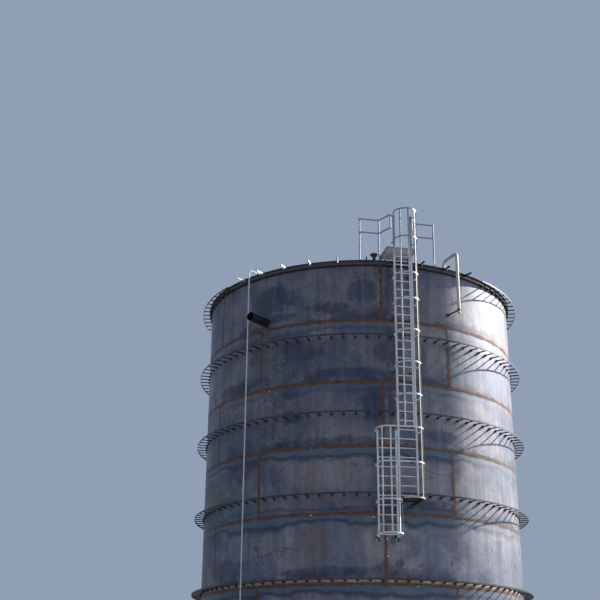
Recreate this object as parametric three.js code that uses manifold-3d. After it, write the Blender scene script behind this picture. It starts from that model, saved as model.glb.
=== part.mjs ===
// A welded steel storage tank, standing on its flat bottom, as it looks before its insulation goes on.
// Millimetres, +Z up. The origin is the centre of the bottom's underside, and the ladders face -Y.
import * as THREE from "three";
import { mergeVertices } from "three/addons/utils/BufferGeometryUtils.js";
import Module from "manifold-3d";

// Shell
const RADIUS = 5300;
const PLATE = 8;
const COURSES = 7;
const COURSE_HEIGHT = 2000;
const HEIGHT = COURSES * COURSE_HEIGHT;
const SIDES = 60;
const GAP = 0.3;
const SINK = 60;

// Bottom and roof
const BOTTOM_THICKNESS = 10;
const BOTTOM_LEDGE = 50;
const ROOF_RISE = 560;
const ROOF_PLATE = 8;
const ROOF_OVERHANG = 95;
const ROOF_LIP = 120;
const ROOF_LIP_RISE = 2;

// Edge angle under the roof
const EDGE_REACH = 80;
const EDGE_DROP = 130;
const EDGE_PLATE = 10;

// Bare brackets at the roof edge
const EDGE_BRACKETS = 38;
const EDGE_BRACKET_START = 2.9;
const EDGE_BRACKET_LENGTH = 320;
const edgeReach = RADIUS + EDGE_REACH;
const EDGE_BRACKET_THICK = 10;
const EDGE_BRACKET_TALL = 60;
const EDGE_BRACKET_DROP = 4;
const EDGE_FIRST_BARE = -5;
const EDGE_LAST_BARE = 4;

// Insulation rings
const RING_HEIGHTS = [1650, 4100, 6550, 9000, 11450];
const RING_STANDOFF = 320;
const RING_BAR_TALL = 40;
const RING_BAR_THICK = 8;
const TOP_RING_HEIGHT = 13850;
const PEG_STEP = 24;
const PEG_START = 3;
const PEG_TALL = 30;
const PEG_WIDE = 10;
const PEG_INSET = 12;

// Ladders
const UPPER_ANGLE = 14.4;
const LOWER_ANGLE = 8.1;
const LADDER_OUT = RADIUS + 450;
const STILE_SPREAD = 280;
const STILE_WIDE = 56;
const STILE_DEEP = 30;
const RUNG_RADIUS = 15;
const RUNG_STEP = 280;
const UPPER_FOOT = 6320 + GAP;
const UPPER_TOP = 15450;
const UPPER_LAST_RUNG = 14300;
const UPPER_RUNG_STEPS = 28;
const LOWER_FOOT = 5240;
const LOWER_TOP = 8380;
const LOWER_FIRST_RUNG = 5330;
const LOWER_LAST_RUNG = 8280;
const ARM_THICK = 10;
const ARM_TALL = 60;
const UPPER_BRACKETS = [7560, 8620, 10300, 12000, 13500];
const LOWER_BRACKETS = [5330, 6100, 7560];

// Cages
const CAGE_HALF = 380;
const CAGE_STRAIGHT = 330;
const CAGE_THICK = 8;
const HOOP_TALL = 45;
const HOOP_STEPS = 8;
const STRAP_WIDE = 45;
const CAGE_STRAPS = [-84, -42, 0, 42, 84];
const UPPER_STRETCHES = [
  [9360, 10360, 11380],
  [12400, 13240],
  [14450, 15400],
];
const SHARED_HOOPS = [7320, 8350];
const LOWER_HOOPS = [5290, 6235];

// Platforms and guard rails
const REST_TOP = 6320;
const REST_PLATE = 40;
const REST_LEFT = 311;
const REST_BACK = 100;
const REST_ARMS = [-200, 230];
const REST_ARM_REACH = 420;
const REST_GUSSET = 120;
const LANDING_TOP = 14360;
const LANDING_DEEP = 45;
const LANDING_HALF = 500;
const LANDING_NEAR = LADDER_OUT - 50;
const LANDING_FAR = 4750;
const LEG = 50;
const RAIL_OUT = 5150;
const RAIL_TOP = 15496;
const RAIL_MIDDLE = 15030;
const RAIL_END = 1240;
const RAIL_CORNER = 600;
const RAIL_TIP = 355;
const RAIL_TIP_OUT = 5670;
const RAIL_TUBE = 50;

// Pipes
const OVERFLOW_ANGLE = 32.8;
const OVERFLOW_RADIUS = 50;
const OVERFLOW_IN = 5190;
const OVERFLOW_OUT = 5880;
const OVERFLOW_HIGH = 14320;
const OVERFLOW_LOW = 12330;
const OVERFLOW_FALL = 80;
const OVERFLOW_BEND = 150;
const OVERFLOW_STEPS = 14;
const OVERFLOW_BORE = 140;
const CLIP_HEIGHT = 110;
const CLIP_TALL = 50;
const CLIP_THICK = 12;
const PAD_HALF = 60;
const PIPE_SIDES = 10;
const STUB_ANGLE = -33.8;
const STUB_HEIGHT = 12250;
const STUB_RADIUS = 140;
const STUB_LENGTH = 820;
const STUB_PAD_RADIUS = 180;
const STUB_PAD_THICK = 12;
const STUB_SIDES = 20;
const THIN_ANGLE = -39;
const THIN_RADIUS = 21;
const THIN_OUT = RADIUS + RING_STANDOFF + THIN_RADIUS + 2;
const THIN_SEAT = (RADIUS + RING_STANDOFF) * Math.cos(Math.PI / SIDES) + GAP;
const THIN_HIGH = 14120;
const THIN_LOW = 160;
const THIN_BEND = 130;
const THIN_STEPS = 8;
const THIN_CLAMP_WIDE = 64;
const THIN_CAP_RADIUS = 34;

// Vent
const VENT_ANGLE = 6;
const VENT_OUT = 5120;
const VENT_CAP = 130;
const VENT_CAP_TALL = 60;
const VENT_HIGH = 350;
const VENT_NECK = 55;

const COLOURS = {
  shell: [0x4d5364, 0.45, 0.75],
  rust: [0x5a4238, 0.7, 0.5],
  dark: [0x2b2c33, 0.6, 0.6],
  bright: [0xa9b0b8, 0.4, 0.85],
  black: [0x17181c, 0.55, 0.3],
};

const wasm = await Module();
wasm.setup();

const tank = new THREE.Group();
const degrees = (angle) => (angle * Math.PI) / 180;

// A closed three.js geometry as a solid that can be joined and cut.
function solidOf(geometry) {
  const bare = geometry.clone();
  bare.deleteAttribute("normal");
  bare.deleteAttribute("uv");
  const merged = mergeVertices(bare, 1e-3);
  return new wasm.Manifold(
    new wasm.Mesh({
      numProp: 3,
      vertProperties: new Float32Array(merged.attributes.position.array),
      triVerts: new Uint32Array(merged.index.array),
    }),
  );
}

// A solid back as a three.js geometry.
function geometryOf(solid) {
  const mesh = solid.getMesh();
  const geometry = new THREE.BufferGeometry();
  geometry.setAttribute("position", new THREE.BufferAttribute(mesh.vertProperties, 3));
  geometry.setIndex(new THREE.BufferAttribute(mesh.triVerts, 1));
  geometry.computeVertexNormals();
  return geometry;
}

// One sub-part: a named mesh, standing in a group that turns it round the tank's axis.
function place(name, solid, colour, turn = 0) {
  const [color, roughness, metalness] = COLOURS[colour];
  const material = new THREE.MeshStandardMaterial({ color, roughness, metalness });
  const mesh = new THREE.Mesh(geometryOf(solid), material);
  mesh.name = name;
  const stand = new THREE.Group();
  stand.rotation.z = degrees(turn);
  stand.add(mesh);
  tank.add(stand);
}

const join = (solids) => solids.reduce((whole, piece) => whole.add(piece));

// A box from its two opposite corners, turned by an angle round the tank's axis.
function box(x0, x1, y0, y1, z0, z1, turn = 0) {
  const geometry = new THREE.BoxGeometry(x1 - x0, y1 - y0, z1 - z0);
  geometry.translate((x0 + x1) / 2, (y0 + y1) / 2, (z0 + z1) / 2);
  geometry.rotateZ(degrees(turn));
  return solidOf(geometry);
}

// A profile of [radius, height] points turned round the tank's axis.
function turned(profile, start = 0) {
  const points = profile.map(([r, z]) => new THREE.Vector2(r, z));
  const geometry = new THREE.LatheGeometry(points, SIDES, degrees(start), 2 * Math.PI);
  geometry.rotateX(Math.PI / 2);
  return solidOf(geometry);
}

// A ring with a rectangular section.
function ring(inner, outer, low, high) {
  return turned([[inner, low], [outer, low], [outer, high], [inner, high], [inner, low]]);
}

// A flat bar bent in plan, between an outer and an inner line of points.
function bentBar(outer, inner, z, tall) {
  const points = [...outer, ...inner.reverse()].map(([x, y]) => new THREE.Vector2(x, y));
  const strip = new THREE.Shape(points);
  const geometry = new THREE.ExtrudeGeometry(strip, { depth: tall, bevelEnabled: false });
  geometry.translate(0, 0, z - tall / 2);
  return solidOf(geometry);
}

// A straight bar of round section between two points.
function rod(from, to, radius, sides = 8) {
  const a = new THREE.Vector3(...from);
  const b = new THREE.Vector3(...to);
  const geometry = new THREE.CylinderGeometry(radius, radius, a.distanceTo(b), sides);
  const up = new THREE.Vector3(0, 1, 0);
  const turn = new THREE.Quaternion().setFromUnitVectors(up, b.clone().sub(a).normalize());
  geometry.applyQuaternion(turn);
  const middle = a.add(b).multiplyScalar(0.5);
  geometry.translate(middle.x, middle.y, middle.z);
  return solidOf(geometry);
}

// A tube with a round section along straight runs whose corners are rounded.
function bentTube(points, bend, radius, steps) {
  const corners = points.map((p) => new THREE.Vector3(...p));
  const path = new THREE.CurvePath();
  let from = corners[0];
  for (let i = 1; i < corners.length - 1; i++) {
    const back = corners[i - 1].clone().sub(corners[i]).setLength(bend);
    const on = corners[i + 1].clone().sub(corners[i]).setLength(bend);
    const before = corners[i].clone().add(back);
    const after = corners[i].clone().add(on);
    path.add(new THREE.LineCurve3(from, before));
    path.add(new THREE.QuadraticBezierCurve3(before, corners[i], after));
    from = after;
  }
  path.add(new THREE.LineCurve3(from, corners[corners.length - 1]));
  const section = new THREE.Shape();
  section.absarc(0, 0, radius, 0, 2 * Math.PI);
  const geometry = new THREE.ExtrudeGeometry(section, {
    steps,
    curveSegments: 5,
    extrudePath: path,
  });
  return solidOf(geometry);
}

// A full cylinder with as many sides as the shell, seen from a group turned round the tank's axis.
function cylinderAt(radius, low, high, turn = 0) {
  return turned([[0, low], [radius, low], [radius, high], [0, high]], -turn);
}

// Everything inside the shell's outer face, which cuts what is welded to the shell.
const coreAt = (turn) => cylinderAt(RADIUS + GAP, -SINK, HEIGHT + SINK, turn);

// Bottom plate with its ledge outside the shell.
function addBottom() {
  const r = RADIUS + BOTTOM_LEDGE;
  place("bottom_plate", turned([[0, 0], [r, 0], [r, BOTTOM_THICKNESS], [0, BOTTOM_THICKNESS]]), "shell");
}

// Seven rings of plate, each standing on the one below.
function addShell() {
  for (let i = 0; i < COURSES; i++) {
    const low = i === 0 ? BOTTOM_THICKNESS : i * COURSE_HEIGHT;
    const high = (i + 1) * COURSE_HEIGHT;
    place("shell_course_" + (i + 1), ring(RADIUS - PLATE, RADIUS, low, high), "shell");
  }
}

// Low cone of roof plate with a flat lip that lies on the shell.
function addRoof() {
  const out = RADIUS + ROOF_OVERHANG;
  const lip = RADIUS - ROOF_LIP;
  const top = HEIGHT + ROOF_RISE;
  place(
    "roof_plate",
    turned([
      [0, top],
      [0, top - ROOF_PLATE],
      [lip, HEIGHT],
      [out, HEIGHT],
      [out, HEIGHT + ROOF_PLATE],
      [lip, HEIGHT + ROOF_PLATE + ROOF_LIP_RISE],
      [0, top],
    ]),
    "dark",
  );
}

const bracketAngle = (k) => EDGE_BRACKET_START + (k * 360) / EDGE_BRACKETS;

// One bare bracket at the roof edge, a flat bar on its edge that starts inside the wall.
function edgeBracket(k) {
  const half = EDGE_BRACKET_THICK / 2;
  const out = edgeReach + EDGE_BRACKET_LENGTH;
  const top = HEIGHT - EDGE_BRACKET_DROP;
  return box(-half, half, -out, -RADIUS + SINK, top - EDGE_BRACKET_TALL, top, bracketAngle(k));
}

// Angle iron under the roof's rim: one leg on the shell, the other outward at its foot. With it come
// the bare brackets of the front.
function addEdgeAngle() {
  const r = RADIUS + GAP;
  const face = r + EDGE_PLATE;
  const foot = HEIGHT - EDGE_DROP;
  const angle = turned([
    [r, foot],
    [edgeReach, foot],
    [edgeReach, foot + EDGE_PLATE],
    [face, foot + EDGE_PLATE],
    [face, HEIGHT],
    [r, HEIGHT],
    [r, foot],
  ]);
  const brackets = [];
  for (let k = EDGE_FIRST_BARE; k <= EDGE_LAST_BARE; k++) brackets.push(edgeBracket(k));
  const wall = cylinderAt(face - EDGE_PLATE / 2, foot, HEIGHT + SINK, 0);
  place("edge_angle", join([angle, join(brackets).subtract(wall)]), "rust");
}

// A peg from the shell out to a ring's bar, at an angle round the tank.
function peg(angle, z) {
  const half = PEG_WIDE / 2;
  const out = RADIUS + RING_STANDOFF - PEG_INSET;
  return box(-half, half, -out, -RADIUS + SINK, z - PEG_TALL / 2, z + PEG_TALL / 2, angle);
}

// Angles of the pegs of a ring between two angles.
function pegAngles(start, end) {
  const angles = [];
  for (let a = PEG_START; a < 360; a += PEG_STEP) {
    if (a > start && a < end) angles.push(a);
  }
  return angles;
}

// Part of the topmost ring, which is still missing at the front: flat bar on pegs under the roof edge.
function addEdgeBar(name, start, end) {
  const step = 360 / SIDES;
  const angles = [start];
  for (let a = 0; a < 360; a += step) {
    if (a > start && a < end) angles.push(a);
  }
  angles.push(end);
  const arc = (r) => angles.map(degrees).map((a) => [r * Math.sin(a), -r * Math.cos(a)]);
  const outer = RADIUS + RING_STANDOFF;
  const bar = bentBar(arc(outer - RING_BAR_THICK), arc(outer), TOP_RING_HEIGHT, RING_BAR_TALL);
  const pegs = pegAngles(start, end).map((a) => peg(a, TOP_RING_HEIGHT));
  place(name, join([bar, ...pegs]).subtract(coreAt(0)), "dark");
}

// Flat bar standing off the shell on pegs, which will carry the insulation.
function addInsulationRing(index) {
  const z = RING_HEIGHTS[index];
  const outer = RADIUS + RING_STANDOFF;
  const bar = ring(outer - RING_BAR_THICK, outer, z - RING_BAR_TALL / 2, z + RING_BAR_TALL / 2);
  const pegs = pegAngles(0, 360).map((a) => peg(a, z));
  place("insulation_ring_" + (index + 1), join([bar, ...pegs]).subtract(coreAt(0)), "dark");
}

// A flat bar on its edge, from a distance in front of the shell into its wall.
function arm(x, y, low, high) {
  return box(x - ARM_THICK / 2, x + ARM_THICK / 2, y, -RADIUS + SINK, low, high);
}

// Two stiles, the rungs, and the arms that hold the stiles off the shell.
function ladder(foot, top, firstRung, lastRung, brackets, turn) {
  const parts = [];
  for (const side of [-1, 1]) {
    const x = side * STILE_SPREAD;
    const half = STILE_WIDE / 2;
    const y = -LADDER_OUT;
    parts.push(box(x - half, x + half, y - STILE_DEEP / 2, y + STILE_DEEP / 2, foot, top));
    for (const z of brackets) parts.push(arm(x, y + STILE_DEEP / 4, z - ARM_TALL / 2, z + ARM_TALL / 2));
  }
  for (let z = firstRung; z <= lastRung + 1; z += RUNG_STEP) {
    parts.push(rod([-STILE_SPREAD, -LADDER_OUT, z], [STILE_SPREAD, -LADDER_OUT, z], RUNG_RADIUS, 6));
  }
  return join(parts).subtract(coreAt(turn));
}

// Points of a cage hoop in plan: straight from the stile, then a half circle.
function hoopLine(inset) {
  const half = CAGE_HALF - inset;
  const centre = LADDER_OUT + CAGE_STRAIGHT;
  const line = [[half, -LADDER_OUT - STILE_DEEP / 2 - GAP]];
  for (let i = 0; i <= HOOP_STEPS; i++) {
    const a = (Math.PI * i) / HOOP_STEPS;
    line.push([half * Math.cos(a), -centre - half * Math.sin(a)]);
  }
  line.push([-half, -LADDER_OUT - STILE_DEEP / 2 - GAP]);
  return line;
}

// The hoop's foot at one stile: a short plate from the hoop in to the stile's outer face.
function hoopFoot(side, z, turn = 0) {
  const y = -LADDER_OUT - STILE_DEEP / 2 - GAP;
  const inner = STILE_SPREAD - STILE_WIDE / 2;
  const x0 = side < 0 ? -CAGE_HALF : inner;
  const x1 = side < 0 ? -inner : CAGE_HALF;
  return box(x0, x1, y - CAGE_THICK, y, z - HOOP_TALL / 2, z + HOOP_TALL / 2, turn);
}

function hoop(z) {
  const bow = bentBar(hoopLine(0), hoopLine(CAGE_THICK), z, HOOP_TALL);
  return join([bow, hoopFoot(-1, z), hoopFoot(1, z)]);
}

// A vertical strap inside the hoops, at an angle round the cage from its front.
function strap(angle, low, high, turn = 0) {
  const geometry = new THREE.BoxGeometry(STRAP_WIDE, CAGE_THICK, high - low);
  geometry.translate(0, -CAGE_HALF + CAGE_THICK, (low + high) / 2);
  geometry.rotateZ(degrees(angle));
  geometry.translate(0, -LADDER_OUT - CAGE_STRAIGHT, 0);
  geometry.rotateZ(degrees(turn));
  return solidOf(geometry);
}

// A stretch of cage: hoops, with straps between two heights.
function cage(hoops, low, high) {
  return join([...hoops.map(hoop), ...CAGE_STRAPS.map((angle) => strap(angle, low, high))]);
}

// The upper cage is bolted together from stretches, and each one ends just under the next one's first hoop.
function addUpperCage() {
  for (let i = 0; i < UPPER_STRETCHES.length; i++) {
    const hoops = UPPER_STRETCHES[i];
    const next = UPPER_STRETCHES[i + 1];
    const low = i ? hoops[0] - HOOP_TALL / 2 : sharedTop + GAP;
    const high = next ? next[0] - HOOP_TALL / 2 - GAP : hoops[hoops.length - 1] + HOOP_TALL / 2;
    place("cage_upper_" + (i + 1), cage(hoops, low, high), "bright", UPPER_ANGLE);
  }
}

const sharedTop = SHARED_HOOPS[1] + HOOP_TALL / 2;
const lowerTop = LOWER_HOOPS[1] + HOOP_TALL / 2;

// Turns points in plan by an angle in degrees.
function turnLine(line, angle) {
  const c = Math.cos(degrees(angle));
  const s = Math.sin(degrees(angle));
  return line.map(([x, y]) => [x * c - y * s, x * s + y * c]);
}

// Plan line round both ladders: right half of the upper cage, left half of the lower one.
function sharedLine(inset) {
  const line = hoopLine(inset);
  return [
    ...turnLine(line.slice(0, HOOP_STEPS / 2 + 2), UPPER_ANGLE),
    ...turnLine(line.slice(HOOP_STEPS / 2 + 1), LOWER_ANGLE),
  ];
}

// The wide cage where one steps across from the lower ladder to the rest platform.
function sharedCage() {
  const parts = [];
  for (const z of SHARED_HOOPS) {
    parts.push(bentBar(sharedLine(0), sharedLine(CAGE_THICK), z, HOOP_TALL));
    parts.push(hoopFoot(1, z, UPPER_ANGLE));
    parts.push(hoopFoot(-1, z, LOWER_ANGLE));
  }
  for (const angle of CAGE_STRAPS.slice(0, 3)) {
    parts.push(strap(angle, lowerTop + GAP, sharedTop, LOWER_ANGLE));
  }
  for (const angle of CAGE_STRAPS.slice(3)) {
    parts.push(strap(angle, REST_TOP + GAP, sharedTop, UPPER_ANGLE));
  }
  return join(parts);
}

// Small round-fronted floor at the foot of the upper ladder, on two arms from the shell.
function restPlatform() {
  const under = REST_TOP - REST_PLATE;
  const outline = hoopLine(0).slice(1, -1);
  const back = -LADDER_OUT + REST_BACK;
  const corners = [[CAGE_HALF, back], ...outline, [-CAGE_HALF, back]];
  const shape = new THREE.Shape(corners.map(([x, y]) => new THREE.Vector2(x, y)));
  const geometry = new THREE.ExtrudeGeometry(shape, { depth: REST_PLATE, bevelEnabled: false });
  geometry.translate(0, 0, under);
  const reach = RADIUS + RING_STANDOFF + 2 * CAGE_HALF + CAGE_STRAIGHT;
  const kept = box(-REST_LEFT, CAGE_HALF, -reach, -RADIUS, under, REST_TOP);
  const parts = [solidOf(geometry).intersect(kept)];
  for (const x of REST_ARMS) {
    parts.push(arm(x, -LADDER_OUT - REST_ARM_REACH, under - ARM_TALL, under + REST_PLATE / 4));
    parts.push(arm(x, -RADIUS - ARM_TALL, under - REST_GUSSET, under - ARM_TALL / 2));
  }
  return join(parts).subtract(coreAt(UPPER_ANGLE));
}

// What stands on the roof, cut by everything below the roof's upper face.
function onRoof(solid, turn) {
  const out = RADIUS + ROOF_OVERHANG + GAP;
  const lip = RADIUS - ROOF_LIP;
  const profile = [
    [0, HEIGHT - EDGE_DROP],
    [out, HEIGHT - EDGE_DROP],
    [out, HEIGHT + ROOF_PLATE + GAP],
    [lip, HEIGHT + ROOF_PLATE + ROOF_LIP_RISE + GAP],
    [0, HEIGHT + ROOF_RISE + GAP],
  ];
  return solid.subtract(turned(profile, -turn));
}

// Flat floor between the ladder and the roof, framed, on four legs.
function landing() {
  const low = LANDING_TOP - LANDING_DEEP;
  const half = LANDING_HALF;
  const parts = [box(-half, half, -LANDING_NEAR, -LANDING_FAR, low, LANDING_TOP)];
  for (const x of [-half + LEG, half - LEG]) {
    for (const y of [-LANDING_FAR - LEG, -RADIUS + LEG]) {
      const r = LEG / 2;
      parts.push(box(x - r, x + r, y - r, y + r, HEIGHT - SINK, low + LANDING_DEEP / 2));
    }
  }
  return onRoof(join(parts), UPPER_ANGLE);
}

// Guard rail on one side: two rails, two posts on the roof, and a return to the ladder.
function guardRail(side) {
  const r = RAIL_TUBE / 2;
  const end = [side * RAIL_END, -RAIL_OUT];
  const corner = [side * RAIL_CORNER, -RAIL_OUT];
  const tip = [side * RAIL_TIP, -RAIL_TIP_OUT];
  const parts = [];
  for (const z of [RAIL_TOP, RAIL_MIDDLE]) {
    parts.push(rod([...end, z], [...corner, z], r));
    parts.push(rod([...corner, z], [...tip, z], r));
  }
  parts.push(rod([...end, HEIGHT - SINK], [...end, RAIL_TOP + r], r));
  parts.push(rod([...corner, HEIGHT - SINK], [...corner, RAIL_TOP + r], r));
  parts.push(rod([...tip, RAIL_MIDDLE - r], [...tip, RAIL_TOP + r], r));
  return onRoof(join(parts), UPPER_ANGLE);
}

// Pipe that rises from the roof, turns outward and runs down to an open end.
function overflowPipe() {
  const y = -OVERFLOW_OUT;
  const bendFoot = OVERFLOW_HIGH - OVERFLOW_BEND;
  const points = [
    [0, -OVERFLOW_IN, HEIGHT - SINK],
    [0, -OVERFLOW_IN, OVERFLOW_HIGH],
    [0, y, OVERFLOW_HIGH + OVERFLOW_FALL],
    [0, y, bendFoot],
  ];
  const bend = bentTube(points, OVERFLOW_BEND - 2, OVERFLOW_RADIUS, OVERFLOW_STEPS);
  const run = rod([0, y, OVERFLOW_LOW], [0, y, bendFoot + 2], OVERFLOW_RADIUS, PIPE_SIDES);
  const inside = OVERFLOW_RADIUS - PLATE;
  const bore = rod([0, y, OVERFLOW_LOW - SINK], [0, y, OVERFLOW_LOW + OVERFLOW_BORE], inside, PIPE_SIDES);
  return onRoof(join([bend, run]), OVERFLOW_ANGLE).subtract(bore);
}

// Arm and clip that hold the overflow pipe off the shell.
function overflowArm() {
  const y = -OVERFLOW_OUT;
  const z = OVERFLOW_LOW + CLIP_HEIGHT;
  const low = z - CLIP_TALL / 2;
  const high = z + CLIP_TALL / 2;
  const clip = rod([0, y, low], [0, y, high], OVERFLOW_RADIUS + CLIP_THICK, PIPE_SIDES);
  const held = rod([0, y, low - SINK], [0, y, high + SINK], OVERFLOW_RADIUS + GAP, PIPE_SIDES);
  const pad = box(-PAD_HALF, PAD_HALF, -RADIUS - PLATE, -RADIUS + SINK, z - PAD_HALF, z + PAD_HALF);
  const whole = join([clip, arm(0, y + OVERFLOW_RADIUS / 2, low, high), pad]);
  return whole.subtract(held).subtract(coreAt(OVERFLOW_ANGLE));
}

// Open pipe end that points straight out of the shell.
function stub() {
  const z = STUB_HEIGHT;
  const out = [0, -RADIUS - STUB_LENGTH, z];
  const root = [0, -RADIUS + SINK, z];
  const face = -RADIUS - STUB_PAD_THICK;
  const pipe = rod(out, root, STUB_RADIUS, STUB_SIDES);
  const plate = rod([0, face, z], root, STUB_PAD_RADIUS, STUB_SIDES);
  const bore = rod([0, out[1] - SINK, z], [0, face - 2, z], STUB_RADIUS - PLATE, STUB_SIDES);
  return join([pipe, plate]).subtract(bore).subtract(coreAt(STUB_ANGLE));
}

// Thin pipe from the roof edge, down outside the rings to near the ground.
function thinPipe() {
  const inner = -RADIUS + SINK;
  const bendFoot = THIN_HIGH - THIN_BEND;
  const points = [
    [0, inner, THIN_HIGH],
    [0, -THIN_OUT, THIN_HIGH],
    [0, -THIN_OUT, bendFoot],
  ];
  const parts = [bentTube(points, THIN_BEND - 2, THIN_RADIUS, THIN_STEPS)];
  parts.push(rod([0, -THIN_OUT, THIN_LOW], [0, -THIN_OUT, bendFoot + 2], THIN_RADIUS));
  const half = THIN_CLAMP_WIDE / 2;
  for (const z of RING_HEIGHTS) {
    parts.push(box(-half, half, -THIN_OUT, -THIN_SEAT, z - PEG_TALL / 2, z + PEG_TALL / 2));
  }
  const top = [0, inner, THIN_HIGH + THIN_CAP_RADIUS];
  parts.push(rod([0, inner, HEIGHT - SINK], top, THIN_CAP_RADIUS, PIPE_SIDES));
  return onRoof(join(parts), THIN_ANGLE);
}

// Short neck under a round rain cap.
function vent() {
  const y = -VENT_OUT;
  const under = HEIGHT + VENT_HIGH - VENT_CAP_TALL;
  const neck = rod([0, y, HEIGHT - SINK], [0, y, under + VENT_CAP_TALL / 2], VENT_NECK, PIPE_SIDES);
  const cap = rod([0, y, under], [0, y, HEIGHT + VENT_HIGH], VENT_CAP, STUB_SIDES);
  return onRoof(join([neck, cap]), VENT_ANGLE);
}

addBottom();
addShell();
addRoof();
addEdgeAngle();
addEdgeBar("edge_bar_right", 47, 134);
addEdgeBar("edge_bar_back", 134.4, 222);
addEdgeBar("edge_bar_left", 222.4, 309.5);
for (let i = 0; i < RING_HEIGHTS.length; i++) addInsulationRing(i);
const upper = ladder(
  UPPER_FOOT,
  UPPER_TOP,
  UPPER_LAST_RUNG - UPPER_RUNG_STEPS * RUNG_STEP,
  UPPER_LAST_RUNG,
  UPPER_BRACKETS,
  UPPER_ANGLE,
);
const lower = ladder(
  LOWER_FOOT,
  LOWER_TOP,
  LOWER_FIRST_RUNG,
  LOWER_LAST_RUNG,
  LOWER_BRACKETS,
  LOWER_ANGLE,
);
place("ladder_upper", upper, "bright", UPPER_ANGLE);
place("ladder_lower", lower, "bright", LOWER_ANGLE);
addUpperCage();
place("cage_shared", sharedCage(), "bright");
place("cage_lower", cage(LOWER_HOOPS, LOWER_HOOPS[0] - HOOP_TALL / 2, lowerTop), "bright", LOWER_ANGLE);
place("rest_platform", restPlatform(), "rust", UPPER_ANGLE);
place("landing_platform", landing(), "bright", UPPER_ANGLE);
place("guard_rail_left", guardRail(-1), "bright", UPPER_ANGLE);
place("guard_rail_right", guardRail(1), "bright", UPPER_ANGLE);
place("overflow_pipe", overflowPipe(), "bright", OVERFLOW_ANGLE);
place("overflow_arm", overflowArm(), "dark", OVERFLOW_ANGLE);
place("pipe_stub", stub(), "black", STUB_ANGLE);
place("thin_pipe", thinPipe(), "bright", THIN_ANGLE);
place("roof_vent", vent(), "black", VENT_ANGLE);

export default tank;
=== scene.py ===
# %% [markdown]
# # A welded steel storage tank before its insulation
# The tank is a tall round shell of rolled plates. Nothing is painted: what gives it its look is bare
# steel with mill scale, blue heat bands at the welds, rust on the weld beads and streaks of rain.
# Round it run five flat rings on short pegs, which will carry the insulation, and at the front
# two caged ladders lead to a landing on the roof.
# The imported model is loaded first. It fixes every size, and each piece below is worked out from it.

# %% Load the frame
import math

import bpy
import numpy as np
from mathutils import Matrix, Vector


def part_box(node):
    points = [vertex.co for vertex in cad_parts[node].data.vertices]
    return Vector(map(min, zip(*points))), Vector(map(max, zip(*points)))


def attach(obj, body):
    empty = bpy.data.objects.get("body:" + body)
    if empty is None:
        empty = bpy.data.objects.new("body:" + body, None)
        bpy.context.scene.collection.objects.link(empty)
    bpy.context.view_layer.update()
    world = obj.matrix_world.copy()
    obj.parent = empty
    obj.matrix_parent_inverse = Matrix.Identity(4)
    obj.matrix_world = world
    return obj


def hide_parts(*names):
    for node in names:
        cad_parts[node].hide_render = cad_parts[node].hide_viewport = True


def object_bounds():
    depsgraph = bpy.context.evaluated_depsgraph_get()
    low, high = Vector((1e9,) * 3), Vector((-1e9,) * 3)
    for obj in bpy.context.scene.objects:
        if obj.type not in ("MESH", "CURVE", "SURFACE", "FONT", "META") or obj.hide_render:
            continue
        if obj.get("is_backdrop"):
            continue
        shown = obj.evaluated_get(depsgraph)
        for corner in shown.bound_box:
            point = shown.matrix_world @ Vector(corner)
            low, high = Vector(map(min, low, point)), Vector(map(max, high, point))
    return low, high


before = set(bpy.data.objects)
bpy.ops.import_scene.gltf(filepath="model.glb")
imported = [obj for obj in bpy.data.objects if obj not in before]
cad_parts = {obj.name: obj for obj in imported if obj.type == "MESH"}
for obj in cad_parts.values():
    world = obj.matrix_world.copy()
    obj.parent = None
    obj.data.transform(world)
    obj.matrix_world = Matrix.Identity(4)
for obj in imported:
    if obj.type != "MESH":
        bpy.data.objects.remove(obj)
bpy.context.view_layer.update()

# %% [markdown]
# ## Sizes
# The frame says how wide and tall each node is, so most sizes are read from it. Angles are in degrees
# round the tank, counted from its front (the -Y side) towards +X. A few sizes of the ladders and pipes
# that a box can't tell are written here as named values in metres.

# %% Sizes read from the frame
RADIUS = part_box("shell_course_1")[1].x
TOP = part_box("shell_course_7")[1].z
COURSES = 7
COURSE = TOP / COURSES
PLATE = 0.008
RING_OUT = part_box("insulation_ring_1")[1].x
RING_NODES = [f"insulation_ring_{i + 1}" for i in range(5)]
RING_HEIGHTS = [(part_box(n)[0].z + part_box(n)[1].z) / 2 for n in RING_NODES]
BOTTOM_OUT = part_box("bottom_plate")[1].x
BOTTOM_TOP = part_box("bottom_plate")[1].z
ROOF_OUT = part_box("roof_plate")[1].x
ROOF_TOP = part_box("roof_plate")[1].z
print("radius", round(RADIUS, 3), "wall", round(TOP, 3), "rings at", [round(z, 2) for z in RING_HEIGHTS])

# %% Sizes of the fittings
PLATE_TURN = 67.5
ODD_SEAM, EVEN_SEAM = 7.9, 32.0
EDGE_WIDE, EDGE_TALL = 0.08, 0.13
EDGE_OUT, EDGE_FOOT = RADIUS + EDGE_WIDE, TOP - EDGE_TALL
BRACKET_OUT = RADIUS + 0.4
BRACKET_TURN, BRACKET_START = 360 / 38, 2.9
UPPER_TURN, LOWER_TURN = 14.4, 8.1
LADDER_OUT = RADIUS + 0.45
STILE_APART = 0.28
CAGE_HALF = 0.371
CAGE_STRAIGHT = 0.33
UPPER_ARMS = [7.56, 8.62, 10.3, 12.0, 13.5]
LOWER_ARMS = [5.33, 6.1, 7.56]
UPPER_HOOPS = [9.36, 10.36, 11.38, 12.4, 13.24, 14.45, 15.4]
SHARED_HOOPS = [7.32, 8.35]
LOWER_HOOPS = [5.29, 6.235]
STRAP_TURNS = [-84, -42, 0, 42, 84]
AGED_STRAP = 42
print("the ladders stand", round(LADDER_OUT - RADIUS, 2), "m off the shell")

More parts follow.
